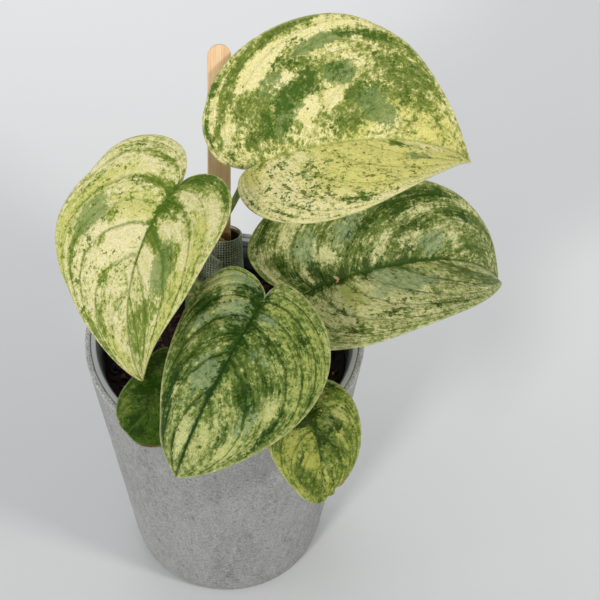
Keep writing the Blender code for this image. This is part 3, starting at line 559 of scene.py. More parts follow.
# %% Netting material
# Polyethylene plant netting, woven from flat tape. It gives the eye a dry grey-green with pale ridges.
netting, tree, inputs = new_material("Woven_polyethylene_netting", 0.7, 0.35)
place = add(tree, "TexCoord", output="Object")
cloud = add(tree, "TexNoise", {"Vector": place, "Scale": 1000 / 4, "Detail": 5.0, "Roughness": 0.7})
cloud_mask = add(tree, "MapRange", {"Value": cloud, 1: 0.35, 2: 0.7})
tone = add(tree, "Mix", {0: cloud_mask, 6: linear("7F8A74"), 7: linear("BCC3B0")}, data_type="RGBA")
tree.links.new(tone, inputs["Base Color"])
fuzz = add(tree, "TexNoise", {"Vector": place, "Scale": 1000 / 0.5, "Detail": 2.0})
relief = add(tree, "Bump", {"Height": fuzz, "Strength": 0.3, "Distance": 0.0002})
tree.links.new(relief, inputs["Normal"])

# %% Netting threads
SLEEVE_MOUTH = Vector((-2.3, 40.0, 168.0))
SLEEVE_LEAN, SLEEVE_LENGTH, SLEEVE_RADIUS, SLEEVE_WALL, LAP_GAP = math.radians(22.0), 62.0, 9.0, 0.8, 0.5
SLEEVE_FLARE, FLARE_DEPTH = 0.05, 30.0
SLEEVE_OVERLAP, SEAM_AT, FLAP_DROP, FLAP_BREADTH = math.radians(75.0), math.radians(195.0), 9.0, 1.2
HEM_STEPS, HEM_RADIUS = 160, 0.36
THREAD_PITCH, THREAD_RADIUS, THREAD_RISE = 1.2, 0.27, 0.22

sleeve_turn = 2 * math.pi + SLEEVE_OVERLAP
lap = SLEEVE_OVERLAP / sleeve_turn
sleeve_frame = Matrix.Translation(SLEEVE_MOUTH) @ Matrix.Rotation(-SLEEVE_LEAN, 4, "X")


def sleeve_point(share, height, out):
    """A point of the rolled strip, out from the middle of its thickness."""
    rise = max(0.0, min(1.0, (share - (1 - 2 * lap)) / lap))
    radius = SLEEVE_RADIUS - SLEEVE_WALL / 2 + (SLEEVE_WALL + LAP_GAP) * (3 * rise ** 2 - 2 * rise ** 3) + out
    radius += SLEEVE_FLARE * min(FLARE_DEPTH, -height)
    angle = SEAM_AT + sleeve_turn * share
    return sleeve_frame @ Vector((radius * math.cos(angle), radius * math.sin(angle), height))


def sleeve_top(share):
    """Height of the strip's upper edge, which is cut lower along the flap."""
    flap = FLAP_BREADTH * lap
    return -FLAP_DROP * max(0.0, (share - (1 - flap)) / flap)


strip_length = SLEEVE_RADIUS * sleeve_turn
columns = int(strip_length / THREAD_PITCH)
rows = int(SLEEVE_LENGTH / THREAD_PITCH)
upright_threads, cross_threads = [], []
for i in range(columns + 1):
    share = i / columns
    heights = [-j * THREAD_PITCH / 2 for j in range(2 * rows + 1)]
    upright_threads.append([
        (sleeve_point(share, height, THREAD_RISE * math.cos(math.pi * (i + j / 2))), THREAD_RADIUS)
        for j, height in enumerate(heights) if height <= sleeve_top(share)])
for j in range(rows + 1):
    height = -j * THREAD_PITCH
    shares = [i / (2 * columns) for i in range(2 * columns + 1)]
    cross_threads.append([
        (sleeve_point(share, height, -THREAD_RISE * math.cos(math.pi * (i / 2 + j))), THREAD_RADIUS)
        for i, share in enumerate(shares) if height <= sleeve_top(share) + 0.01])
hem = [(sleeve_point(i / HEM_STEPS, sleeve_top(i / HEM_STEPS), 0.0), HEM_RADIUS)
       for i in range(HEM_STEPS + 1)]
add_piece("netting_upright_threads", rods(upright_threads, 4), "mesh_sleeve", "netting", netting)
add_piece("netting_cross_threads", rods([*cross_threads, hem], 4), "mesh_sleeve", "netting", netting)

# %% [markdown]
# ## The lining and the packing
# A brown strip of fibre paper curls inside the mouth of the sleeve, and below it the sleeve is packed
# with coconut fibre. The strip is a grid laid along its path, with a ragged upper edge, and a Solidify
# modifier gives it its thickness. Loose fibres stand up from the packing, which keeps its solid part.

# %% Fibre paper and coconut fibre
# Pressed fibre paper, dyed brown and torn. It gives the eye a warm, felty edge, and it is painted
# nearly black lower down in the sleeve, as painted shade.
fibre_paper, tree, inputs = new_material("Pressed_fibre_paper", 0.9, 0.2)
place = add(tree, "TexCoord", output="Object")
felt = add(tree, "TexNoise", {"Vector": place, "Scale": 1000 / 1.0, "Detail": 5.0, "Roughness": 0.7})
felt_mask = add(tree, "MapRange", {"Value": felt, 1: 0.35, 2: 0.68})
paleness = add(tree, "Attribute", output="Fac", attribute_name="painted_lit_share")
# Painted shade: the felt turns nearly black lower down inside the sleeve.
painted_shade_felt = add(tree, "Mix", {0: felt_mask, 6: linear("17120A"), 7: linear("3A2F1A")}, data_type="RGBA")
tone = add(tree, "Mix", {0: felt_mask, 6: linear("8A6636"), 7: linear("CFA870")}, data_type="RGBA")
tone = add(tree, "Mix", {0: paleness, 6: painted_shade_felt, 7: tone}, data_type="RGBA")
tree.links.new(tone, inputs["Base Color"])
relief = add(tree, "Bump", {"Height": felt, "Strength": 0.6, "Distance": 0.0003})
tree.links.new(relief, inputs["Normal"])

# Coconut coir, packed by hand. It gives the eye a dark brown, painted near black as painted shade inside the
# sleeve, with a few brown hairs in it.
coir, tree, inputs = new_material("Packed_coconut_coir", 0.95, 0.2)
place = add(tree, "TexCoord", output="Object")
tangle = add(tree, "TexNoise", {"Vector": place, "Scale": 1000 / 1.2, "Detail": 6.0, "Distortion": 1.5})
tangle_mask = add(tree, "MapRange", {"Value": tangle, 1: 0.4, 2: 0.66})
tone = add(tree, "Mix", {0: tangle_mask, 6: linear("140D08"), 7: linear("3E2C1A")}, data_type="RGBA")
tree.links.new(tone, inputs["Base Color"])
relief = add(tree, "Bump", {"Height": tangle, "Strength": 0.8, "Distance": 0.0006})
tree.links.new(relief, inputs["Normal"])
for slot in bpy.data.objects["sleeve_core"].material_slots:
    slot.material = coir

# %% Lining
LINING_WALL, LINING_LENGTH, LINING_SUNK, LINING_RAGGED = 0.9, 16.0, 0.9, 0.35
# The last part of the path is the curl, which keeps more painted light: where it starts, over what share it
# rises, and how high.
CURL_FROM, CURL_OVER, CURL_RISE = 0.52, 0.2, 4.2
LINING_PATH = ((-5.6, 5.2), (-2.0, 7.4), (2.6, 7.2), (6.6, 3.8), (7.6, -0.6), (5.9, -4.9), (3.0, -7.0),
               (0.2, -7.7), (-1.6, -6.3), (-0.6, -4.5), (1.8, -3.9), (3.6, -5.0))


def finished(piece):
    """Replaces a piece's mesh with the one that its modifiers make."""
    bpy.context.view_layer.update()
    graph = bpy.context.evaluated_depsgraph_get()
    mesh = bpy.data.meshes.new_from_object(piece.evaluated_get(graph))
    piece.modifiers.clear()
    piece.data = mesh
    print(piece.name, "has", len(mesh.polygons), "faces with its thickness")


lining_path = smooth_path([(x, y, 0.0) for x, y in LINING_PATH], 20)
bm = bmesh.new()
bmesh.ops.create_grid(bm, x_segments=len(lining_path) - 1, y_segments=16, size=1.0)
painted_lit_share = bm.verts.layers.float.new("painted_lit_share")
for vert in bm.verts:
    share = (vert.co.x + 1) / 2
    point = lining_path[round(share * (len(lining_path) - 1))]
    ragged = LINING_RAGGED * noise.noise(Vector((30 * share, 0.0, 3.0)))
    curled = min(1.0, max(0.0, (share - CURL_FROM) / CURL_OVER))
    top = -LINING_SUNK + CURL_RISE * curled + ragged
    height = -LINING_LENGTH + (top + LINING_LENGTH) * (vert.co.y + 1) / 2
    # Painted shade: this share of painted light drops lower down in the sleeve, less so in the curl.
    vert[painted_lit_share] = max(0.0, min(1.0, 0.4 + 0.6 * curled - (1 - 0.7 * curled) * 0.45 * (top - height)))
    vert.co = sleeve_frame @ Vector((point.x, point.y, height))
lining = add_piece("curled_lining", mesh_from(bm), "sleeve_lining", "fibre_paper", fibre_paper)
thickness = lining.modifiers.new("Thickness", "SOLIDIFY")
thickness.thickness = LINING_WALL * MM
thickness.offset = -1.0
finished(lining)

# %% Loose fibres
FIBRES, FIBRE_SEED, FIBRE_SPREAD, FIBRE_RADIUS = 90, 5, 6.5, 0.12
chance = random.Random(FIBRE_SEED)
fibres = []
for _ in range(FIBRES):
    angle = chance.uniform(0, 2 * math.pi)
    radius = FIBRE_SPREAD * math.sqrt(chance.random())
    foot = Vector((radius * math.cos(angle), radius * math.sin(angle), -LINING_LENGTH - 0.5))
    lean = Vector((chance.uniform(-2, 2), chance.uniform(-2, 2), chance.uniform(1.5, 4.0)))
    curl = Vector((chance.uniform(-2, 2), chance.uniform(-2, 2), chance.uniform(-1.0, 1.0)))
    points = [foot, foot + lean * 0.6 + curl * 0.4, foot + lean]
    fibres.append([(sleeve_frame @ p, FIBRE_RADIUS) for p in smooth_path(points, 4)])
add_piece("coir_fibres", rods(fibres, 4), None, "coconut_fibre", coir)

# %% [markdown]
# ## The label stick
# It is a plain craft stick of birch, cut with a round end and lightly tumbled. The grain runs along
# it, so the pattern needs the stick's own directions, and these are kept at each point before the
# stick is put in its place. The shape is a cube drawn out, with its end corners bevelled to a half
# circle and its long edges softened.

# %% Birch
# Rotary-cut birch, die-cut and tumbled. It gives the eye a pale peach face with fine straight grain.
birch, tree, inputs = new_material("Die_cut_birch", 0.6, 0.3)
own = add(tree, "Attribute", output="Vector", attribute_name="own_place")
# Grain lines 0.35 mm wide and 12 mm long, and broad bands 2.6 mm wide and 60 mm long.
lines = add(tree, "Mapping", {"Vector": own, "Scale": (1 / 0.35, 1 / 0.35, 1 / 12)})
bands = add(tree, "Mapping", {"Vector": own, "Scale": (1 / 2.6, 1 / 2.6, 1 / 60)})
grain = add(tree, "TexNoise", {"Vector": lines, "Scale": 1.0, "Detail": 4.0, "Roughness": 0.6})
band = add(tree, "TexNoise", {"Vector": bands, "Scale": 1.0, "Detail": 3.0, "Distortion": 0.4})
grain_mask = add(tree, "MapRange", {"Value": grain, 1: 0.38, 2: 0.66})
band_mask = add(tree, "MapRange", {"Value": band, 1: 0.35, 2: 0.65})
tone = add(tree, "Mix", {0: band_mask, 6: linear("FFE0B6"), 7: linear("F6CC9C")}, data_type="RGBA")
grain_share = add(tree, "Math", {0: grain_mask, 1: 0.4}, operation="MULTIPLY")
tone = add(tree, "Mix", {0: grain_share, 6: tone, 7: linear("D09A6C")}, data_type="RGBA")
tree.links.new(tone, inputs["Base Color"])
relief = add(tree, "Bump", {"Height": grain, "Strength": 0.3, "Distance": 0.0002})
tree.links.new(relief, inputs["Normal"])

# %% Label stick
STICK_LENGTH, STICK_WIDTH, STICK_THICKNESS, STICK_EDGE, STICK_SUNK = 114.0, 10.4, 2.0, 0.3, 24.0
STICK_LEAN, STICK_TURN, STICK_IN_SLEEVE = math.radians(23.0), math.radians(14.0), Vector((-1.5, 3.2, 0.0))

bm = bmesh.new()
bmesh.ops.create_cube(bm, size=1.0, matrix=Matrix.Diagonal((STICK_WIDTH, STICK_THICKNESS, STICK_LENGTH, 1.0)))
corners = [edge for edge in bm.edges if abs(edge.verts[0].co.y - edge.verts[1].co.y) > 1]
bmesh.ops.bevel(bm, geom=corners, offset=STICK_WIDTH / 2 - 0.01, segments=12, profile=0.5,
                affect="EDGES", material=-1)
bmesh.ops.remove_doubles(bm, verts=bm.verts, dist=0.05)
outline = [edge for edge in bm.edges if abs(edge.verts[0].co.y - edge.verts[1].co.y) < 0.1]
bmesh.ops.bevel(bm, geom=outline, offset=STICK_EDGE, segments=2, profile=0.5, affect="EDGES", material=-1)
own_place = bm.verts.layers.float_vector.new("own_place")
for vert in bm.verts:
    vert[own_place] = vert.co
stick_frame = (Matrix.Translation(sleeve_frame @ STICK_IN_SLEEVE) @ Matrix.Rotation(-STICK_LEAN, 4, "X")
               @ Matrix.Rotation(STICK_TURN, 4, "Z")
               @ Matrix.Translation((0, 0, STICK_LENGTH / 2 - STICK_SUNK)))
bmesh.ops.transform(bm, matrix=stick_frame, verts=bm.verts)
stick = add_piece("birch_stick", mesh_from(bm), "label_stick", "birch", birch)
stick.data.set_sharp_from_angle(angle=math.radians(40))

# %% [markdown]
# ## Stems
# Two green stems rise from the mix. Each is jointed: it swells slightly at its nodes, where the leaves
# spring, and a thin brown scar rings it there. They are rods with a radius for each point.

# %% Plant skin
# Living stem skin, waxy. It gives the eye an olive green with pale flecks and a soft shine.
skin, tree, inputs = new_material("Waxy_stem_skin", 0.5, 0.4)
place = add(tree, "TexCoord", output="Object")
upright = add(tree, "Mapping", {"Vector": place, "Scale": (1.0, 1.0, 0.35)})
cloud = add(tree, "TexNoise", {"Vector": upright, "Scale": 1000 / 4, "Detail": 5.0, "Roughness": 0.65})
fleck = add(tree, "TexNoise", {"Vector": upright, "Scale": 1000 / 0.9, "Detail": 2.0})
cloud_mask = add(tree, "MapRange", {"Value": cloud, 1: 0.35, 2: 0.68})
fleck_mask = add(tree, "MapRange", {"Value": fleck, 1: 0.58, 2: 0.68})
tone = add(tree, "Mix", {0: cloud_mask, 6: linear("5E7A34"), 7: linear("98A55A")}, data_type="RGBA")
fleck_share = add(tree, "Math", {0: fleck_mask, 1: 0.35}, operation="MULTIPLY")
tone = add(tree, "Mix", {0: fleck_share, 6: tone, 7: linear("C9CC8A")}, data_type="RGBA")
tree.links.new(tone, inputs["Base Color"])
relief = add(tree, "Bump", {"Height": cloud, "Strength": 0.2, "Distance": 0.0003})
tree.links.new(relief, inputs["Normal"])

# Dried leaf scar. It gives the eye a thin tan ring at each node.
scar, tree, inputs = new_material("Dried_leaf_scar", 0.85, 0.2)
place = add(tree, "TexCoord", output="Object")
paleness = add(tree, "TexNoise", {"Vector": place, "Scale": 1000 / 0.8, "Detail": 4.0})
tone = add(tree, "Mix", {0: paleness, 6: linear("8A7048"), 7: linear("D2B686")}, data_type="RGBA")
tree.links.new(tone, inputs["Base Color"])

# %% Stems and scars
STEM_LINE = ((-16.5, 15.0, 104.0), (-16.4, 19.0, 120.0), (-16.3, 23.0, 136.0), (-16.3, 29.1, 151.5),
             (-16.4, 33.4, 163.5), (-16.5, 35.7, 171.5), (-16.6, 37.0, 177.0))
SHOOT_LINE = ((5.0, -9.0, 108.0), (5.4, -10.1, 120.5), (5.8, -11.2, 133.0), (5.95, -11.9, 138.0),
              (6.1, -12.4, 142.0))
STEMS = {"main": (STEM_LINE, 2.6), "side": (SHOOT_LINE, 2.0)}
NODE_STEPS, NODE_SWELL, NODE_WAIST, STEM_END = 16, 1.13, 0.88, 0.45
SCAR_STEPS, SCAR_RADIUS, SCAR_SUNK, SHEATH_RADIUS = 20, 0.16, 0.03, 0.75


def stem(line, radius):
    """Points of a stem and their radii, with a swelling at each node and a rounded growing end."""
    path = smooth_path(line, NODE_STEPS)
    result = []
    for i, place in enumerate(path):
        swell = (NODE_SWELL - NODE_WAIST) * (1 + math.cos(2 * math.pi * i / NODE_STEPS)) / 2
        left = (len(path) - 1 - i) / NODE_STEPS
        ending = 1.0 if left >= 1 else STEM_END + (1 - STEM_END) * math.sqrt(left)
        result.append((place, radius * (NODE_WAIST + swell) * ending))
    return result


def node_scars(line, radius):
    """A thin ring just under each node above the soil."""
    path = stem(line, radius)
    rings = []
    for i in range(2 * NODE_STEPS, len(path) - NODE_STEPS, NODE_STEPS):
        (below, inner), above = path[i - 2], path[i][0]
        axis = (above - below).normalized()
        across = axis.cross(Vector((1.0, 0.0, 0.0))).normalized()
        turns = [Matrix.Rotation(2 * math.pi * k / SCAR_STEPS, 3, axis) for k in range(SCAR_STEPS + 1)]
        around = [turn @ across for turn in turns]
        rings.append([(below + way * (inner - SCAR_SUNK), SCAR_RADIUS) for way in around])
    return rings


for piece_name, node, (line, radius) in (("main_stem", "vine_stem", STEMS["main"]),
                                         ("short_shoot", "side_shoot", STEMS["side"])):
    add_piece(piece_name, rods([stem(line, radius)], 16), node, "green_stem", skin)
    add_piece(piece_name + "_scars", rods(node_scars(line, radius), 6), node, "green_stem", scar)

# A dead leaf sheath still clings round the front of the main stem, as a short pale strand.
SHEATH_LINE = ((-22.0, 25.5, 143.4), (-19.2, 24.0, 144.2), (-16.1, 23.1, 144.7), (-14.0, 23.6, 144.9))
sheath = [(place, SHEATH_RADIUS) for place in smooth_path(SHEATH_LINE, 6)]
add_piece("dry_sheath", rods([sheath], 8), "vine_stem", "green_stem", scar)

# %% [markdown]
# ## Leaf shapes
# A blade starts as a flat grid. One direction runs from the midrib to the margin, and the other from
# the joint round the lobe to the tip, so the grid's lines follow the leaf's own growth. Each half's
# margin is three smooth curves. The flat blade is then folded along its midrib, curled across, swept
# sideways and arched, as a real one hangs. Fine relief follows the side veins: the skin sinks along
# each vein and puffs up between them.

# %% Leaf sizes
# One row for each measure, with a value for each leaf in the order of LEAF_NAMES. Lengths are in
# millimetres and angles in degrees. A name that ends in _l or _r belongs to the left or the right
# half, seen from the joint to the tip with the upper face up. quilt is the height of the puffs, trim
# is what the tip has lost, and the rib rows are for the dark tissue beside the midrib: how dark it
# is, how wide it is at the joint, and where it ends.
LEAF_NAMES = ("leaf_upper_right", "leaf_middle_right", "leaf_left", "leaf_front", "leaf_small_right",
              "leaf_small_left")


def by_leaf(table):
    """One dictionary for each leaf, from rows that hold a value for each of them."""
    return {name: {key: row[i] for key, row in table.items()} for i, name in enumerate(LEAF_NAMES)}


LEAVES = by_leaf({
    "joint": ((11.0, 39.0, 214.0), (37.5, 7.5, 168.0), (-20.5, 20.0, 221.0), (17.5, -23.5, 197.0),
              (37.5, -54.5, 163.0), (-19.0, -31.0, 157.0)),
    "heading": (17.0, 21.0, -129.0, -119.0, -65.0, -119.5),
    "pitch": (16.0, 12.0, -18.0, -12.5, -17.0, -5.0),
    "roll": (15.0, 10.5, 11.0, -0.5, -5.5, -5.5),
    "arch": (49.0, 59.5, 65.0, 25.0, 49.0, 14.0),
    "sweep": (-17.5, -5.5, 22.0, 0.3, -17.0, -12.5),
    "length": (110.5, 113.0, 92.5, 85.0, 44.0, 39.0),
    "half_l": (56.5, 43.5, 43.0, 42.0, 20.5, 20.5),
    "half_r": (47.5, 41.0, 47.0, 31.0, 23.5, 15.5),
    "back_l": (13.0, 17.5, 12.0, 12.5, 9.0, 7.0),
    "back_r": (9.0, 17.5, 16.5, 10.5, 7.5, 8.0),
    "lobe_l": (14.5, 23.0, 17.0, 4.0, 9.0, 8.0),
    "lobe_r": (13.5, 18.0, 15.5, 17.0, 8.0, 9.5),
    "wide_l": (39.5, 23.0, 18.5, 24.0, 5.5, 12.5),
    "wide_r": (24.0, 20.5, 26.5, 11.0, 9.5, 10.5),
    "tip_l": (43.0, 65.5, 53.0, 71.0, 48.5, 79.5),
    "tip_r": (38.0, 39.5, 79.5, 55.5, 74.0, 66.0),
    "point_l": (0.3, 0.25, 0.3, 0.3, 0.3, 0.5),
    "point_r": (0.35, 0.35, 0.15, 0.25, 0.35, 0.5),
    "full_l": (0.5, 0.5, 0.4, 0.45, 0.4, 0.7),
    "full_r": (0.4, 0.5, 0.3, 0.3, 0.5, 0.6),
    "fold_l": (29.0, 30.5, 16.5, 0.5, 18.0, 7.0),
    "fold_r": (25.5, 19.5, 8.0, 5.0, 14.0, 13.5),
    "curl_l": (4.0, 15.0, 9.5, 27.0, 14.5, 22.0),
    "curl_r": (7.0, 11.5, 8.0, 25.0, 18.0, 21.0),
    "tip_drop": (6.0, 7.5, 2.5, 6.5, 1.0, 0.5),
    "wave": (0.9, 1.1, 1.2, 1.0, 0.8, 0.6),
    "waves": (2.5, 2.5, 2.5, 2.0, 2.0, 2.0),
    "phase": (0.4, 1.8, 0.9, 2.6, 0.0, 1.2),
    "petiole_radius": (1.5, 1.5, 1.5, 1.5, 1.1, 1.1),
    "quilt": (0.4, 0.6, 0.55, 1.0, 0.3, 0.25),
    "stem": ("main", "main", "main", "main", "side", "side"),
    "node": (5, 2, 4, 3, 3, 2),
    "trim": (0.0, 1.2, 0.0, 0.0, 1.0, 2.6),
    "rib_shade": (0.15, 0.85, 0.9, 1.0, 0.8, 0.3),
    "rib_width": (6.0, 7.0, 5.0, 5.0, 3.0, 3.0),
    "rib_end": (0.45, 0.75, 0.6, 0.95, 0.7, 0.5),
    "petiole": (((-9.0, 32.5, 179.0), (-1.0, 32.0, 188.0), (5.0, 34.5, 200.0), (8.8, 37.3, 209.0)),
                ((-8.0, 10.0, 140.0), (8.0, 1.0, 148.0), (24.0, 1.5, 158.5)),
                ((-21.0, 26.5, 176.0), (-22.5, 26.0, 194.0), (-21.5, 23.5, 211.0)),
                ((-9.0, 13.0, 160.0), (4.0, -3.0, 175.0), (13.5, -15.5, 189.5)),
                ((15.0, -24.0, 143.5), (27.0, -40.5, 156.0)),
                ((-3.5, -16.0, 139.0), (-12.5, -25.0, 151.0))),
})
print("leaves", len(LEAVES))

# %% [markdown]
# ## Leaf markings
# Each leaf is half cream and half green, and every patch has its place: where the growing tip split
# into green and pale cells, whole strips of the blade followed. The patches are listed for each leaf
# by its half, l or r, and by their kind. Each entry has its place from the joint (0) to the tip (100),
# its place from the midrib (0) to the margin (100), its half-length along the veins and its
# half-breadth across them in millimetres, and its strength in per cent. The shader then breaks
# every border with noise, as cells do.

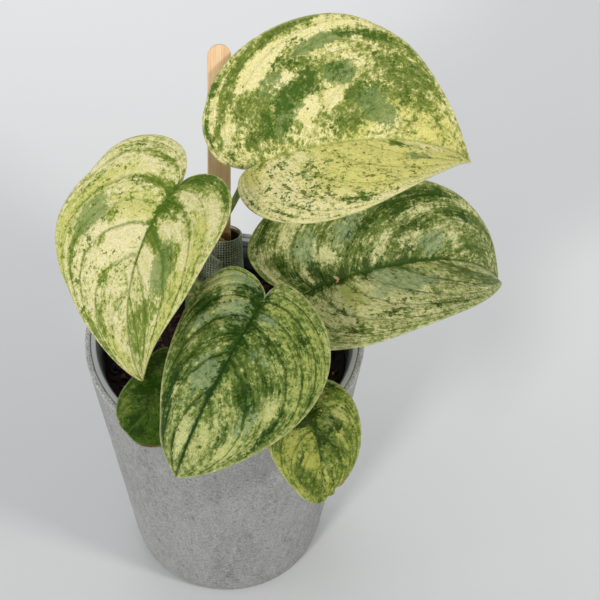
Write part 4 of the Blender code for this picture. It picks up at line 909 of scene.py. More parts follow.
# %% Patches on each leaf
PATCHES = {
    "leaf_upper_right": {
        "l": {
            "dark": [(16, 93, 15, 5, 50), (27, 95, 5, 4, 50), (43, 96, 9, 3, 43), (12, 55, 6, 4, 43),
                (44, 67, 4, 4, 65), (40.5, 74, 5, 3, 58), (45, 84, 4, 3, 50), (55, 56, 5, 4, 36),
                (45, 49, 12, 7, 50), (43, 45, 12, 5, 36), (34, 31, 14, 3, 36), (38, 20, 6, 3, 43),
                (60, 41, 9, 4, 43), (55, 15, 6, 3, 29), (60.5, 90, 9, 5, 79), (74, 58, 11, 8, 36),
                (75, 88, 12, 6, 29), (66, 76, 7, 4, 36), (30, 30, 12, 2.5, 50), (24, 33, 10, 2, 45)],
            "green": [(40, 95, 14, 5, 70), (16, 75, 8, 4, 60), (26, 73, 8, 6, 50), (30, 86, 12, 4, 35),
                (30, 60, 9, 5, 60), (30, 36, 14, 7, 22), (20, 24, 6, 4, 40), (60, 30, 12, 6, 70),
                (69, 94, 8, 5, 50), (75, 62, 13, 9, 55), (74, 80, 14, 9, 50)],
            "silver": [(37, 60, 9, 4, 60), (49.5, 79, 9, 4, 100), (55, 55, 6, 5, 100), (42, 42, 14, 6, 60),
                (66.5, 30, 8, 7, 110), (36, 26, 12, 2, 80)],
            "yellow": [(86, 40, 26, 14, 60), (60, 3, 40, 3, 80)],
            "cream": [(18, 62, 12, 3, 45), (22, 87, 7, 3, 50), (35, 76, 11, 6, 80), (50, 90, 14, 4, 50),
                (46, 31, 6, 3, 80), (54, 37, 8, 3, 70), (42, 58, 6, 3, 70), (84, 18, 4, 4, 60),
                (80, 72, 8, 4, 50)],
        },
        "r": {
            "dark": [(30, 13, 4, 3, 50), (25, 20, 3, 2, 43), (41, 25, 3, 3, 58), (41, 42, 2, 2, 43),
                (32, 52, 2, 2, 50), (30, 62, 5, 4, 25), (35, 80, 6, 5, 25), (19, 88, 6, 4, 50),
                (27, 86, 4, 3, 50), (31, 91, 3, 3, 58), (28, 97, 3, 2, 50), (42, 98, 4, 2, 43),
                (51, 87, 7, 6, 54), (60, 83, 5, 4, 36), (74.5, 17, 6, 3, 50)],
            "green": [(16, 9, 5, 3, 60), (72, 8, 5, 3, 60), (89, 58, 6, 3, 60), (55, 60, 34, 20, 12)],
            "silver": [(38.5, 37, 5, 3, 90), (76, 49, 9, 5, 80)],
            "yellow": [(50, 3, 50, 4, 90), (62, 55, 36, 20, 95), (10, 45, 14, 14, 70),
                (92, 60, 16, 16, 90)],
            "cream": [(70, 33, 6, 4, 60), (77, 68, 8, 4, 70)],
            "speck": [(30, 35, 30, 16, 50), (32, 75, 24, 14, 60), (56, 50, 40, 24, 38)],
        },
    },
    "leaf_middle_right": {
        "l": {
            "dark": [(23, 20, 10, 3, 50), (45, 10, 8, 3, 43), (47, 46, 16, 5, 36), (58, 64, 12, 6, 50),
                (67, 85, 10, 6, 65), (76, 72, 8, 5, 50), (62, 41, 16, 4, 36), (60, 10, 8, 4, 43),
                (70, 5, 8, 3, 36), (24, 90, 10, 5, 58), (19, 56, 8, 4, 43), (16, 32, 6, 3, 43)],
            "green": [(83, 42, 8, 6, 60), (83, 85, 8, 6, 60)],
            "silver": [(28, 48, 9, 5, 64), (68.5, 23, 8, 5, 72), (42, 50, 10, 5, 48)],
            "cream": [(18, 20, 10, 3, 54), (13, 80, 14, 6, 61), (64, 60, 9, 4, 48), (50, 17, 14, 3, 41),
                (61, 24, 8, 3, 48), (32, 31, 7, 4, 48), (75, 40, 9, 4, 41), (78, 92, 9, 5, 48),
                (28, 70, 12, 5, 34)],
            "brown": [(29, 2, 1.5, 1.5, 90)],
        },
        "r": {
            "dark": [(31, 50, 6, 3, 50), (47, 70, 6, 3, 50), (35, 78, 5, 4, 43), (64, 83, 10, 4, 43)],
            "green": [(79, 45, 16, 6, 60), (85, 75, 10, 6, 60)],
            "silver": [(50, 22, 18, 6, 56), (60, 30, 12, 5, 48), (45, 40, 4, 3, 64)],
            "yellow": [(33, 16, 10, 4, 40), (36, 33, 9, 4, 45), (66, 18, 8, 4, 40)],
            "cream": [(40, 50, 26, 14, 30)],
            "speck": [(55, 70, 20, 8, 60)],
            "brown": [(29, 2, 1.5, 1.5, 90), (73, 1, 2, 2, 90)],
        },
    },
    "leaf_left": {
        "l": {
            "dark": [(26, 9, 12, 4, 65), (33, 13, 6, 3, 50), (10, 62, 15, 10, 90), (14, 92, 12, 8, 75),
                (26, 92, 7, 5, 65), (53, 58, 4, 3, 36), (65, 61, 6, 3, 43)],
            "green": [(46, 5, 16, 3, 45), (10, 40, 12, 6, 70), (16, 42, 10, 5, 60), (50, 50, 10, 5, 55),
                (73, 48, 8, 7, 50), (36, 27, 4, 2, 50), (82, 25, 11, 6, 70), (86, 65, 9, 6, 80)],
            "silver": [(52, 42, 11, 6, 80), (60, 50, 9, 6, 80)],
            "yellow": [(70, 90, 22, 7, 80), (45, 80, 16, 5, 70)],
            "cream": [(24, 42, 12, 5, 50), (42, 36, 8, 4, 70), (49, 72, 8, 4, 80), (58, 22, 10, 5, 80),
                (34, 80, 10, 6, 80)],
            "brown": [(99, 50, 3, 3, 100)],
        },
        "r": {
            "dark": [(25, 87, 9, 4, 40), (31, 45, 5, 3, 40), (33, 71, 4, 3, 43), (42, 84, 6, 3, 36),
                (65, 42, 3, 3, 50)],
            "green": [(16, 13, 10, 4, 60), (18, 62, 12, 3, 50), (25, 31, 9, 2.5, 45), (60, 81, 13, 2.5, 60),
                (55, 45, 3, 2, 70), (46, 43, 3, 3, 50), (79, 60, 10, 3, 65), (84, 88, 10, 6, 80)],
            "silver": [(49, 66, 10, 6, 110)],
            "yellow": [(55, 92, 40, 6, 60), (35, 15, 20, 6, 50), (92, 50, 10, 12, 70)],
            "cream": [(50, 20, 20, 8, 50), (30, 62, 12, 6, 50)],
            "speck": [(55, 60, 40, 16, 40)],
            "brown": [(99, 50, 3, 3, 100)],
        },
    },
    "leaf_front": {
        "l": {
            "dark": [(41, 38, 9, 4, 40), (60, 34, 10, 5, 43), (64.5, 44, 6, 3, 58), (52, 93, 4, 3, 58),
                (70, 90, 14, 5, 50), (78, 50, 9, 4, 40), (33, 62, 8, 4, 40), (55, 55, 7, 3, 40)],
            "green": [(50, 10, 26, 6, 50)],
            "silver": [(27, 22, 8, 4, 68), (47, 28, 6, 4, 50), (70, 60, 9, 6, 52)],
            "yellow": [(40, 80, 26, 12, 90), (25, 50, 14, 8, 50)],
            "cream": [(62, 68, 8, 3, 52), (80, 70, 8, 4, 45), (55, 22, 8, 4, 38), (85, 30, 9, 6, 38)],
        },
        "r": {
            "dark": [(14, 35, 12, 6, 58), (38, 75, 9, 5, 58), (33, 62, 5, 3, 36), (78, 88, 14, 7, 65),
                (66, 72, 9, 5, 36), (40, 18, 9, 4, 36), (90, 62, 8, 4, 40)],
            "green": [(55, 68, 16, 8, 40)],
            "silver": [(13, 62, 14, 7, 60), (30, 25, 12, 5, 45), (43, 66, 5, 3, 68), (62, 25, 9, 6, 60)],
            "yellow": [(63, 6, 12, 4, 70)],
            "cream": [(22, 78, 9, 7, 60), (30, 50, 10, 6, 38), (48, 70, 4, 3, 60), (53, 65, 4, 3, 60),
                (71, 72, 5, 3, 68), (85, 35, 9, 6, 60)],
        },
    },
    "leaf_small_right": {
        "l": {
            "dark": [(24, 8, 9, 4, 50), (50, 11, 14, 3, 58), (25, 85, 4, 4, 58), (44, 54, 7, 4, 43)],
            "green": [(60, 30, 7, 4, 50)],
            "silver": [(42, 33, 6, 3, 80)],
            "yellow": [(65, 75, 8, 5, 60)],
            "cream": [(43, 62, 5, 1.5, 90), (54, 50, 4, 2, 70)],
            "brown": [(24, 55, 3, 2, 70), (83, 93, 3, 3, 110), (90, 98, 2, 2, 80)],
        },
        "r": {
            "dark": [(28, 8, 8, 4, 50), (36, 27, 5, 2, 50), (60, 43, 4, 2, 50)],
            "green": [(52, 80, 4, 3, 50), (74, 60, 5, 4, 70), (85, 35, 6, 5, 70)],
            "yellow": [(63, 80, 8, 5, 120), (50, 20, 8, 4, 60), (70, 18, 8, 4, 50)],
            "cream": [(65, 33, 3, 3, 80)],
        },
    },
    "leaf_small_left": {
        "l": {
            "dark": [(93, 30, 5, 5, 58)],
            "yellow": [(80, 50, 7, 5, 80), (86, 85, 6, 5, 70)],
            "brown": [(86, 99, 6, 2, 90)],
        },
        "r": {
            "dark": [(52, 32, 9, 5, 50), (65, 52, 5, 4, 50), (82, 10, 6, 4, 43)],
            "silver": [(65, 12, 7, 4, 90), (38, 50, 5, 3, 60)],
            "cream": [(78, 75, 8, 6, 60)],
            "brown": [(90, 97, 2, 2, 80)],
        },
    },
}
for name, halves in PATCHES.items():
    count = sum(len(entries) for kinds in halves.values() for entries in kinds.values())
    print(name, "has", count, "patches")

# %% Grounds, side veins and dents
# The even ground of each half: green, dark, silver, yellow and specks, all from 0 to 1.
GROUNDS = {
    "leaf_upper_right": {"l": (0.37, 0.02, 0.08, 0.35, 0.4), "r": (0.08, 0.0, 0.0, 0.3, 0.5)},
    "leaf_middle_right": {"l": (0.6, 0.1, 0.24, 0.2, 0.3), "r": (0.43, 0.05, 0.24, 0.3, 0.5)},
    "leaf_left": {"l": (0.39, 0.0, 0.05, 0.4, 0.3), "r": (0.26, 0.0, 0.0, 0.3, 0.4)},
    "leaf_front": {"l": (0.5, 0.02, 0.08, 0.4, 0.3), "r": (0.58, 0.12, 0.3, 0.2, 0.3)},
    "leaf_small_right": {"l": (0.54, 0.06, 0.05, 0.5, 0.2), "r": (0.38, 0.0, 0.0, 0.6, 0.2)},
    "leaf_small_left": {"l": (0.72, 0.14, 0.0, 0.5, 0.1), "r": (0.7, 0.16, 0.14, 0.3, 0.1)},
}
# The side veins of each half: where each would meet the midrib, as a share of the way to the tip
# (below 0 it springs from the joint itself), and how dark it is.
VEINS = {
    "leaf_upper_right": {
        "l": ((-0.15, 0.4), (-0.03, 0.6), (0.07, 0.6), (0.19, 0.8), (0.3, 0.5), (0.44, 0.4), (0.58, 0.3),
              (0.72, 0.3)),
        "r": ((-0.1, 0.4), (0.03, 0.4), (0.17, 0.4), (0.32, 0.4), (0.47, 0.6), (0.62, 0.3), (0.75, 0.3)),
    },
    "leaf_middle_right": {
        "l": ((-0.15, 0.5), (-0.02, 0.5), (0.09, 0.6), (0.21, 0.6), (0.34, 0.7), (0.49, 0.6), (0.62, 0.5),
              (0.75, 0.5)),
        "r": ((-0.1, 0.4), (0.03, 0.5), (0.17, 0.6), (0.31, 0.5), (0.42, 0.4), (0.55, 0.8), (0.7, 0.4)),
    },
    "leaf_left": {
        "l": ((-0.12, 0.3), (0.1, 0.4), (0.226, 1.0), (0.42, 1.0), (0.59, 0.6), (0.72, 0.5)),
        "r": ((-0.16, 0.3), (-0.05, 0.5), (0.17, 0.8), (0.29, 0.3), (0.4, 0.8), (0.55, 0.6), (0.7, 0.3)),
    },
    "leaf_front": {
        "l": ((-0.06, 0.6), (0.07, 0.9), (0.19, 0.7), (0.305, 0.8), (0.42, 0.3), (0.53, 0.9), (0.72, 0.5)),
        "r": ((-0.1, 0.4), (0.02, 0.7), (0.12, 0.8), (0.27, 1.0), (0.38, 0.4), (0.49, 0.7), (0.68, 0.8)),
    },
    "leaf_small_right": {
        "l": ((-0.1, 0.4), (0.06, 0.5), (0.2, 0.7), (0.36, 0.5), (0.52, 0.4), (0.68, 0.4)),
        "r": ((-0.08, 0.4), (0.08, 0.5), (0.24, 0.7), (0.4, 0.5), (0.56, 0.5), (0.72, 0.4)),
    },
    "leaf_small_left": {
        "l": ((0.02, 0.3), (0.2, 0.3), (0.38, 0.3), (0.56, 0.3), (0.72, 0.3)),
        "r": ((0.02, 0.3), (0.2, 0.3), (0.38, 0.3), (0.56, 0.3), (0.72, 0.3)),
    },
}
# Small dents and swellings of the margin: the half, the place, the half-breadth, and millimetres
# outwards.
NUDGES = {
    "leaf_upper_right": [("l", 0.8, 0.1, -1.8), ("l", 0.62, 0.05, -0.9), ("l", 0.22, 0.03, -0.8)],
    "leaf_front": [("r", 0.88, 0.06, 1.2)],
    "leaf_left": [("r", 0.4, 0.05, -2.2), ("r", 0.55, 0.05, 1.2), ("r", 0.7, 0.05, -1.6)],
    "leaf_middle_right": [("l", 0.9, 0.06, 1.5)],
    "leaf_small_right": [("l", 0.86, 0.02, -1.6), ("l", 0.925, 0.015, -1.2)],
    "leaf_small_left": [("r", 0.89, 0.015, -0.8)],
}
print("side veins", sum(len(veins) for halves in VEINS.values() for veins in halves.values()))

# %% [markdown]
# ## From a flat grid to a hanging blade
# The margin is worked out in the flat blade, because a leaf's outline is simplest there. One function
# bends a flat point into its place, and another says how far the skin rises or sinks at it. What
# grows at each point is kept in attributes, which the leaf's shader reads.


# %% Blade surface
MIDRIB_RATE, LOBE_EASE, TIP_DROP_FROM, NEARLY_ZERO = 1.7, 0.55, 0.55, 1e-6
VEIN_PULL, VEIN_REACH, VEIN_SLANT, FAINT_VEIN = 0.24, 0.9, 0.8, 0.2
GROOVE_DEPTH, GROOVE_BREADTH, PUFF_HEIGHT, MARGIN_STEPS = 0.45, 1.4, 0.5, 40


def margin(leaf, side, rows):
    """One half's margin in the flat blade, from the joint round the lobe to the tip, evenly spaced."""
    length = leaf["length"]
    half, back, lobe = leaf["half_" + side], leaf["back_" + side], leaf["lobe_" + side]
    wide, full, point = leaf["wide_" + side], leaf["full_" + side], leaf["point_" + side]
    angle = math.radians(leaf["tip_" + side])
    run = length - wide
    toward = (length - point * run * math.cos(angle), point * run * math.sin(angle))
    line = cubic(((0, 0), (-LOBE_EASE * back, 0.02 * lobe), (-back, lobe * (1 - LOBE_EASE)),
                  (-back, lobe)), MARGIN_STEPS)
    line += cubic(((-back, lobe), (-back, lobe + LOBE_EASE * (half - lobe)),
                   (wide - LOBE_EASE * (wide + back), half), (wide, half)), MARGIN_STEPS)
    line += cubic(((wide, half), (wide + full * run, half), toward, (length, 0)), 2 * MARGIN_STEPS)
    line.append((length, 0.0))
    total = [0.0]
    for a, b in zip(line, line[1:]):
        total.append(total[-1] + math.dist(a, b))
    spaced, k = [], 1
    for i in range(rows + 1):
        goal = total[-1] * i / rows
        while k < len(total) - 1 and total[k] < goal:
            k += 1
        share = (goal - total[k - 1]) / (total[k] - total[k - 1])
        spaced.append(tuple(line[k - 1][n] + share * (line[k][n] - line[k - 1][n]) for n in (0, 1)))
    return spaced


def leaf_axes(leaf):
    """Forward, left and up directions of a blade."""
    heading, pitch, roll = (math.radians(leaf[key]) for key in ("heading", "pitch", "roll"))
    ahead = Vector((math.cos(heading), math.sin(heading), 0.0))
    forward = math.cos(pitch) * ahead + Vector((0.0, 0.0, math.sin(pitch)))
    level = Vector((-math.sin(heading), math.cos(heading), 0.0))
    rise = forward.cross(level)
    return (forward, math.cos(roll) * level + math.sin(roll) * rise,
            math.cos(roll) * rise - math.sin(roll) * level)


def bent(leaf, axes, side, x, y, lift):
    """Where a point of the flat blade goes when the blade is folded, curled, swept and arched."""
    length = leaf["length"]
    fold = math.radians(leaf["fold_" + side])
    curl = math.radians(leaf["curl_" + side]) / leaf["half_" + side]
    across = (math.sin(fold) - math.sin(fold - curl * y)) / curl
    height = (math.cos(fold - curl * y) - math.cos(fold)) / curl + lift
    height -= leaf["tip_drop"] * (max(0.0, x / length - TIP_DROP_FROM) / (1 - TIP_DROP_FROM)) ** 2
    across *= 1 if side == "l" else -1
    sweep = math.radians(leaf["sweep"]) / length
    turn = sweep * x
    ahead = math.sin(turn) / sweep - across * math.sin(turn)
    aside = (1 - math.cos(turn)) / sweep + across * math.cos(turn)
    arch = math.radians(leaf["arch"]) / length
    droop = arch * ahead
    forward, left, up = axes
    return (Vector(leaf["joint"]) + forward * (math.sin(droop) / arch + height * math.sin(droop))
            + left * aside + up * ((math.cos(droop) - 1) / arch + height * math.cos(droop)))


def among_veins(leaf, side, t, q):
    """A point's place across the side veins, as a share of the leaf, and along them in millimetres."""
    return (t + VEIN_PULL * math.log(1 - VEIN_REACH * q),
            leaf["length"] * t + VEIN_SLANT * leaf["half_" + side] * q)


def nearest_vein(veins, w):
    """A count that passes a whole number at each side vein, and how dark the nearest vein is."""
    k = 0
    while k < len(veins) - 2 and w > veins[k + 1][0]:
        k += 1
    phase = k + (w - veins[k][0]) / (veins[k + 1][0] - veins[k][0])
    nearest = round(phase)
    return phase, veins[nearest][1] if 0 <= nearest < len(veins) else FAINT_VEIN


def relief(leaf, side, t, q, y, phase):
    """How far the skin rises: ripples of the margin, the midrib's groove and the puffs between veins."""
    waving = math.sin(2 * math.pi * leaf["waves"] * t + leaf["phase"])
    ripple = leaf["wave"] * q ** 3 * waving * math.sin(math.pi * t)
    groove = -GROOVE_DEPTH * math.exp(-(y / GROOVE_BREADTH) ** 2) * (1 - t)
    puff = -math.cos(2 * math.pi * phase) * min(1.0, 6 * q) * (1 - q ** 6) * math.sin(math.pi * t) ** 0.5
    return (ripple if side == "l" else -ripple) + groove + PUFF_HEIGHT * leaf["quilt"] * puff


for name, leaf in LEAVES.items():
    print(name, "is", round(leaf["half_l"] + leaf["half_r"], 1), "mm across")

# %% Tissue of a blade
KINDS = ("green", "dark", "silver", "yellow", "speck")
# Dark tissue always has green cells round it, and cream thins both out.
GREEN_WITH_DARK, DARK_UNDER_CREAM, PATCH_END = 0.6, 0.3, 6
RIB_FADE, RIB_LEAST = 1.3, 0.12
# How many millimetres across the veins one millimetre of the leaf's length stands for.
ACROSS_VEINS = 0.75


def placed_patches(name, side):
    """The patches of one half, with their places among its side veins."""
    leaf, placed = LEAVES[name], []
    for kind, entries in PATCHES[name][side].items():
        for t, q, along, across, strength in entries:
            w, s = among_veins(leaf, side, t / 100, q / 100)
            placed.append((w, s, along, across / (ACROSS_VEINS * leaf["length"]), kind, strength / 100))
    return placed


def tissue(leaf, ground, patches, place, among):
    """How strong each kind of tissue is at a point.

    place is its share of the way to the tip and its distance from the midrib, and among is its place
    among the side veins.
    """
    (t, from_midrib), (w, s) = place, among
    levels = dict(zip(KINDS, ground), brown=0.0)
    if t < leaf["rib_end"]:
        breadth = leaf["rib_width"] * max(RIB_LEAST, 1 - t / leaf["rib_end"])
        beside = leaf["rib_shade"] * math.exp(-(from_midrib / breadth) ** RIB_FADE)
        levels["dark"] += beside
        levels["green"] += GREEN_WITH_DARK * beside
    for pw, ps, along, across, kind, strength in patches:
        d = ((w - pw) / across) ** 2 + ((s - ps) / along) ** 2
        if d < PATCH_END:
            here = strength * math.exp(-d ** 1.5)
            if kind == "cream":
                levels["green"] -= here
                levels["dark"] -= DARK_UNDER_CREAM * here
            else:
                levels[kind] += here
            if kind == "dark":
                levels["green"] += GREEN_WITH_DARK * strength * math.exp(-d)
    return levels


print("kinds of tissue:", ", ".join(KINDS))

# %% Blade builder
MOST_GREEN, MOST_DARK, MOST_SILVER = 0.85, 0.68, 0.85
TRIM_FROM, TRANSLUCENT_RIM = 0.86, 0.9
LARGE_GRID, SMALL_GRID, LARGE_FROM = (190, 52), (110, 34), 60
# The pattern of the right half starts elsewhere in the noise, and the veins wander off their places.
RIGHT_HALF_AWAY, VEIN_WANDER = 500, 0.3


def blade(name, rows, columns):
    """The upper face of a blade, with the places of its veins and the strength of its colours."""
    leaf = LEAVES[name]
    axes = leaf_axes(leaf)
    edges = {side: margin(leaf, side, rows) for side in "lr"}
    patches = {side: placed_patches(name, side) for side in "lr"}
    bm = bmesh.new()
    bm.loops.layers.uv.new("leaf_map")
    bmesh.ops.create_grid(bm, x_segments=2 * columns, y_segments=rows, size=1.0, calc_uvs=True)
    for attribute in ("veins", "colours", "tints", "borders"):
        bm.verts.layers.float_vector.new(attribute)
    veins, colours, tints, borders = (bm.verts.layers.float_vector[attribute]
                                      for attribute in ("veins", "colours", "tints", "borders"))
    for vert in bm.verts:
        side = "r" if vert.co.x > 0 else "l"
        q = max(abs(vert.co.x), NEARLY_ZERO)
        row = round((vert.co.y + 1) / 2 * rows)
        t = row / rows
        mid = leaf["length"] * t ** MIDRIB_RATE
        edge = edges[side][row]
        x, y = mid + q * (edge[0] - mid), q * edge[1]
        reach = max(0.001, math.hypot(edge[0] - mid, edge[1]))
        for nudged, at, breadth, out in NUDGES[name]:
            if nudged == side:
                push = out * q ** 4 * math.exp(-((t - at) / breadth) ** 2)
                x += push * (edge[0] - mid) / reach
                y += push * edge[1] / reach
        x -= leaf["trim"] * max(0.0, (t - TRIM_FROM) / (1 - TRIM_FROM)) ** 2
        w, s = among_veins(leaf, side, t, q)
        phase, vein_shade = nearest_vein(VEINS[name][side], w)
        levels = tissue(leaf, GROUNDS[name][side], patches[side], (t, q * reach), (w, s))
        across = ACROSS_VEINS * leaf["length"] * w + (RIGHT_HALF_AWAY if side == "r" else 0)
        vert[veins] = Vector((phase - VEIN_WANDER / 2, across, s))
        vert[colours] = Vector((min(MOST_GREEN, levels["green"]), min(MOST_DARK, levels["dark"]),
                                min(MOST_SILVER, levels["silver"])))
        vert[tints] = Vector((levels["yellow"], levels["speck"], levels["brown"]))
        vert[borders] = Vector((max(0.0, 1 - (1 - q) * reach / TRANSLUCENT_RIM), q * reach,
                                vein_shade * (1 - 0.6 * q) * min(1.0, 4 * (1 - t))))
        vert.co = bent(leaf, axes, side, x, y, relief(leaf, side, t, q, y, phase))
    bmesh.ops.remove_doubles(bm, verts=bm.verts, dist=0.0005)
    return bm


print("a large blade has", 2 * LARGE_GRID[0] * LARGE_GRID[1], "faces before it gets its thickness")

# %% [markdown]
# ## Leaf skin
# Satin pothos has a thick, matt skin. The silver patches are places where air lies under the skin, so
# they scatter light. The green and the cream are the same smooth tissue with and without green cells.
# One function builds the shader for every leaf, because they are the same plant. What differs is the
# list of colours and how strongly the pattern follows the veins.


# %% Leaf shader
def leaf_skin(name, looks):
    """Living leaf skin: cream ground, green tissue, silver air patches, specks, veins and edges."""
    made, tree, inputs = new_material(name, 0.55, 0.14)
    place = add(tree, "TexCoord", output="Object")
    veins = add(tree, "Attribute", output="Vector", attribute_name="veins")
    colours, tints, borders = (
        add(tree, "SeparateXYZ", {0: add(tree, "Attribute", output="Vector", attribute_name=kept)})
        .node.outputs for kept in ("colours", "tints", "borders"))
    phase = add(tree, "SeparateXYZ", {0: veins}, "X")

    # Streaks follow the veins: 2.2 mm across and 8 mm long, and fine ones of 0.8 by 3 mm.
    broad = add(tree, "Mapping", {"Vector": veins, "Scale": (0.0, 1 / 2.2, 1 / 8)})
    narrow = add(tree, "Mapping", {"Vector": veins, "Scale": (0.0, 1 / 0.8, 1 / 3),
                                   "Location": (3.0, 0.0, 7.0)})
    streak = add(tree, "TexNoise", {"Vector": broad, "Scale": 1.0, "Detail": 4.0, "Roughness": 0.65},
                 "Color")
    thread = add(tree, "TexNoise", {"Vector": narrow, "Scale": 1.0, "Detail": 4.0, "Roughness": 0.7},
                 "Color")
    # Patches of 6 mm, ragged edges of 2 mm and single groups of cells of 0.7 mm.
    patch = add(tree, "TexNoise", {"Vector": place, "Scale": 1000 / 6, "Detail": 4.0, "Roughness": 0.65},
                "Color")
    ragged = add(tree, "TexNoise", {"Vector": place, "Scale": 1000 / 2, "Detail": 5.0, "Roughness": 0.75},
                 "Color")
    cells = add(tree, "TexNoise", {"Vector": place, "Scale": 1000 / 0.7, "Detail": 2.0, "Roughness": 0.6})
    streaks, threads, patched, edged = (add(tree, "SeparateColor", {0: colour}).node.outputs
                                        for colour in (streak, thread, patch, ragged))

    follow = looks["follow"]
    shares = (2.6 * follow, 2.4 * follow, 2.6 * (1 - follow), 3.2 - 1.4 * follow)

    def broken(level, channel, amount=1.0):
        """A level whose border is broken up by one channel of every noise."""
        total = level
        for source, share in zip((streaks, threads, patched, edged), shares):
            total = add(tree, "Math", {0: source[channel], 1: share * amount, 2: total},
                        operation="MULTIPLY_ADD")
        return add(tree, "Math", {0: total, 1: amount * sum(shares) / 2}, operation="SUBTRACT")

    def layer(under, level, low, high, share, colour):
        """Tissue of one colour over what lies under it, where a level passes from low to high."""
        mask = add(tree, "MapRange", {"Value": level, 1: low, 2: high, 3: 0.0, 4: share},
                   interpolation_type="SMOOTHSTEP")
        return add(tree, "Mix", {0: mask, 6: under, 7: linear(colour)}, data_type="RGBA")

    # Green cells are densest along the side veins.
    wander = add(tree, "Math", {0: patched["Green"], 1: VEIN_WANDER, 2: phase}, operation="MULTIPLY_ADD")
    off_vein = add(tree, "Math", {0: wander, 1: 0.5}, operation="PINGPONG")
    near_vein = add(tree, "MapRange", {"Value": off_vein, 1: 0.2, 2: 0.0, 3: 0.0, 4: looks["hug"]},
                    interpolation_type="SMOOTHSTEP")
    green_level = add(tree, "Math", {0: near_vein, 1: borders["Z"], 2: colours["X"]},
                      operation="MULTIPLY_ADD")
    green = broken(green_level, "Red")
    silver = broken(colours["Z"], "Green", 0.75)
    dark = broken(colours["Y"], "Blue")
    yellow = broken(tints["X"], "Blue", 0.7)
    tone = linear(looks["cream"])
    tone = layer(tone, yellow, 0.1, 0.9, 1.0, looks["yellow"])
    tone = layer(tone, green, 0.15, 0.50, 0.8, looks["pale"])
    tone = layer(tone, green, 0.48, 0.70, 0.9, looks["green"])
    tone = layer(tone, silver, 0.46, 0.60, looks["silver_share"], looks["silver"])
    tone = layer(tone, green, 0.85, 1.10, 0.6, looks["dark"])
    tone = layer(tone, dark, 0.42, 0.60, 0.9, looks["dark"])

    # Specks are groups of green cells about a millimetre across, denser where the list says so.
    speck = add(tree, "TexNoise", {"Vector": place, "Scale": 1000 / 2.3, "Detail": 3.0, "Roughness": 0.65})
    speck_level = add(tree, "Math", {0: tints["Y"], 1: 0.12, 2: speck}, operation="MULTIPLY_ADD")
    speck_level = add(tree, "Math", {0: patched["Blue"], 1: 0.5, 2: speck_level}, operation="MULTIPLY_ADD")
    tone = layer(tone, speck_level, 0.94, 1.01, 0.85, looks["dark"])

    # Side veins are thin green lines, stronger in some leaves, and the midrib is a broader one.
    vein_line = add(tree, "MapRange", {"Value": off_vein, 1: 0.075, 2: 0.015},
                    interpolation_type="SMOOTHSTEP")
    vein_break = add(tree, "MapRange", {"Value": threads["Green"], 1: 0.36, 2: 0.56, 3: 0.3,
                                        4: looks["vein"]})
    vein_share = add(tree, "Math", {0: vein_line, 1: vein_break}, operation="MULTIPLY")
    vein_share = add(tree, "Math", {0: vein_share, 1: borders["Z"]}, operation="MULTIPLY")
    tone = add(tree, "Mix", {0: vein_share, 6: tone, 7: linear(looks["vein_colour"])}, data_type="RGBA")
    rib = add(tree, "MapRange", {"Value": borders["Y"], 1: 1.1, 2: 0.25}, interpolation_type="SMOOTHSTEP")
    rib_share = add(tree, "Math", {0: rib, 1: looks["rib"]}, operation="MULTIPLY")
    tone = add(tree, "Mix", {0: rib_share, 6: tone, 7: linear(looks["rib_colour"])}, data_type="RGBA")
    rim_share = add(tree, "Math", {0: borders["X"], 1: looks["rim"]}, operation="MULTIPLY")
    tone = add(tree, "Mix", {0: rim_share, 6: tone, 7: linear("D2D596")}, data_type="RGBA")
    tone = layer(tone, broken(tints["Z"], "Green", 0.4), 0.45, 0.7, 1.0, looks["brown"])

    grain = add(tree, "MapRange", {"Value": cells, 1: 0.3, 2: 0.7, 3: 0.80, 4: 1.15})
    shaded = add(tree, "VectorMath", {0: tone, 1: grain}, operation="MULTIPLY")
    tree.links.new(shaded, inputs["Base Color"])
    gloss = add(tree, "MapRange", {"Value": silver, 1: 0.3, 2: 0.6, 3: 0.5, 4: 0.4})
    tree.links.new(gloss, inputs["Roughness"])
    raised = add(tree, "Bump", {"Height": vein_line, "Strength": 0.6, "Distance": 0.0006}, invert=True)
    raised = add(tree, "Bump", {"Height": threads["Red"], "Strength": 0.35, "Distance": 0.0004,
                                "Normal": raised})
    raised = add(tree, "Bump", {"Height": cells, "Strength": 0.2, "Distance": 0.0002, "Normal": raised})
    tree.links.new(raised, inputs["Normal"])
    return made


# One row for each colour or share, with a value for each leaf. follow says how far the borders follow
# the veins, and hug how strongly green gathers along them.
LOOKS = by_leaf({
    "cream": ("F0E8AE", "D6D49C", "E8E0AE", "BEC282", "AEB270", "76863E"),
    "yellow": ("E0DA80", "B0B664", "CCCC76", "A6AE58", "A2A64A", "5A6E14"),
    "pale": ("AAB05C", "959E5A", "B0B860", "8A9652", "7E8B40", "4C6624"),
    "green": ("708230", "60742A", "788A30", "566E26", "586C20", "3C5A12"),
    "dark": ("3E5E10", "2C4606", "44640A", "1C3C00", "223800", "244000"),
    "silver": ("6F8848", "8CA074", "7A904C", "839970", "7E8A54", "66783F"),
    "silver_share": (0.8, 0.65, 0.75, 0.65, 0.5, 0.5),
    "brown": ("A5713A", "C9A77C", "8E6E44", "A5713A", "8E7A50", "6E5634"),
    "follow": (0.42, 0.62, 0.55, 0.6, 0.55, 0.4),
    "hug": (0.15, 0.3, 0.5, 0.5, 0.3, 0.2),
    "vein": (0.3, 0.7, 1.0, 1.1, 0.6, 0.3),
    "vein_colour": ("8C9C48", "304A08", "54741A", "203E04", "2A4406", "2A4406"),
    "rib": (0.5, 0.7, 0.6, 0.8, 0.5, 0.4),
    "rib_colour": ("A2AC48", "35520F", "557414", "163600", "2A4406", "50682C"),
    "rim": (0.5, 0.4, 0.5, 0.5, 0.4, 0.3),
})
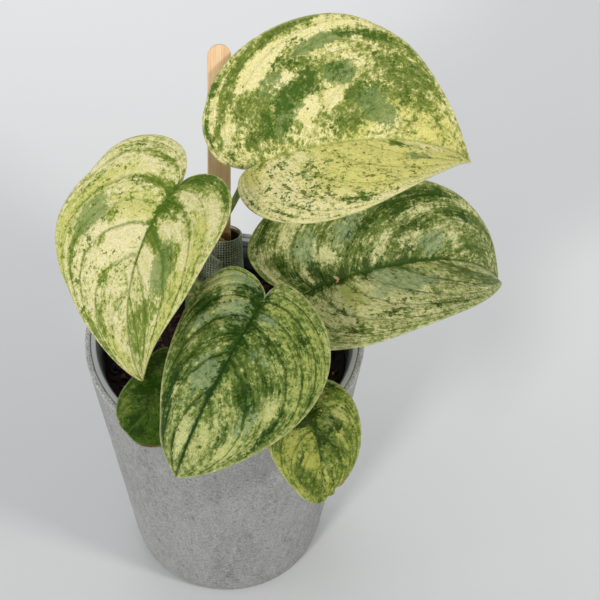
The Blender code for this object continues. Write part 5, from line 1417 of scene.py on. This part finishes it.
skins = {name: leaf_skin("Satin_leaf_skin_" + name[5:], looks) for name, looks in LOOKS.items()}

# The lower skin of a leaf, living and matt. It gives the eye a paler, greyer green with the veins raised.
underside, tree, inputs = new_material("Matt_lower_leaf_skin", 0.6, 0.3)
place = add(tree, "TexCoord", output="Object")
veins = add(tree, "Attribute", output="Vector", attribute_name="veins")
colours = add(tree, "Attribute", output="Vector", attribute_name="colours")
green_share = add(tree, "SeparateXYZ", {0: colours}, "X")
streak_map = add(tree, "Mapping", {"Vector": veins, "Scale": (0.0, 1 / 2.2, 1 / 9)})
streak = add(tree, "TexNoise", {"Vector": streak_map, "Scale": 1.0, "Detail": 5.0, "Roughness": 0.6})
total = add(tree, "Math", {0: streak, 1: 1.2, 2: green_share}, operation="MULTIPLY_ADD")
green = add(tree, "MapRange", {"Value": total, 1: 0.8, 2: 1.5})
tone = add(tree, "Mix", {0: green, 6: linear("CFD29A"), 7: linear("8DA36E")}, data_type="RGBA")
phase = add(tree, "SeparateXYZ", {0: veins}, "X")
off_vein = add(tree, "Math", {0: phase, 1: 0.5}, operation="PINGPONG")
vein_line = add(tree, "MapRange", {"Value": off_vein, 1: 0.09, 2: 0.02})
vein_share = add(tree, "Math", {0: vein_line, 1: 0.4}, operation="MULTIPLY")
tone = add(tree, "Mix", {0: vein_share, 6: tone, 7: linear("B9C28A")}, data_type="RGBA")
tree.links.new(tone, inputs["Base Color"])
raised = add(tree, "Bump", {"Height": vein_line, "Strength": 0.5, "Distance": 0.0004})
tree.links.new(raised, inputs["Normal"])
print("leaf materials", len(skins) + 1)

# %% Blades
BLADE_THICKNESS = 0.7
SLOTS = {entry["node"]: entry["material_slot"] for entry in frame["record"]["subparts"]}
for name, leaf in LEAVES.items():
    grid = LARGE_GRID if leaf["length"] > LARGE_FROM else SMALL_GRID
    mesh = mesh_from(blade(name, *grid))
    piece = add_piece(name.replace("leaf", "blade"), mesh, name, SLOTS[name], skins[name], underside)
    thickness = piece.modifiers.new("Thickness", "SOLIDIFY")
    thickness.thickness = BLADE_THICKNESS * MM
    thickness.offset = -1.0
    thickness.material_offset = 1
    thickness.material_offset_rim = 0
    finished(piece)

# %% [markdown]
# ## Petioles
# Each leaf stalk leaves its node square to the stem, curves up, thickens a little at the joint and
# runs on under the blade as its midrib. It is a rod whose radius tapers along the midrib.

# %% Petioles
PETIOLE_ROOT, PETIOLE_SWELL, PETIOLE_CLEAR, GAP = 2.2, 1.35, 0.1, 0.3
JOINT_SUNK, JOINT_SWELL, RIDGE_TAPER, RIDGE_SUNK, STALK_STEPS = 1.2, 0.12, 1.2, 0.4, 8
RIDGE_SHARES = (0.02, 0.06, 0.12, 0.18, 0.24, 0.30, 0.36, 0.42, 0.48)


def petiole(leaf):
    """Centres and radii of the petiole, which goes on under the blade as its raised midrib."""
    line, radius = STEMS[leaf["stem"]]
    below, centre, above = (Vector(line[leaf["node"] + step]) for step in (-1, 0, 1))
    along = (above - below).normalized()
    away = Vector(leaf["petiole"][0]) - centre
    away = (away - along * away.dot(along)).normalized()
    start = centre + away * (radius * NODE_SWELL + GAP + PETIOLE_CLEAR)
    joined = Vector(leaf["joint"]) - JOINT_SUNK * leaf_axes(leaf)[2]
    points = [start, start + away * PETIOLE_ROOT, *leaf["petiole"], joined]
    thick = leaf["petiole_radius"]
    stalk = smooth_path(points, STALK_STEPS)[:-1]
    result = []
    for i, place in enumerate(stalk):
        foot = (PETIOLE_SWELL - 1) * max(0.0, 1 - i / STALK_STEPS)
        joint = JOINT_SWELL * math.exp(-((len(stalk) - i) / 3) ** 2)
        result.append((place, thick * (1 + foot + joint)))
    axes = leaf_axes(leaf)
    for share in RIDGE_SHARES:
        ridge = thick * (1.0 - RIDGE_TAPER * share)
        under = bent(leaf, axes, "l", share * leaf["length"], NEARLY_ZERO, -ridge - RIDGE_SUNK)
        result.append((under, ridge))
    return result


for name, leaf in LEAVES.items():
    add_piece(name.replace("leaf", "petiole"), rods([petiole(leaf)], 16), name, SLOTS[name], skin)
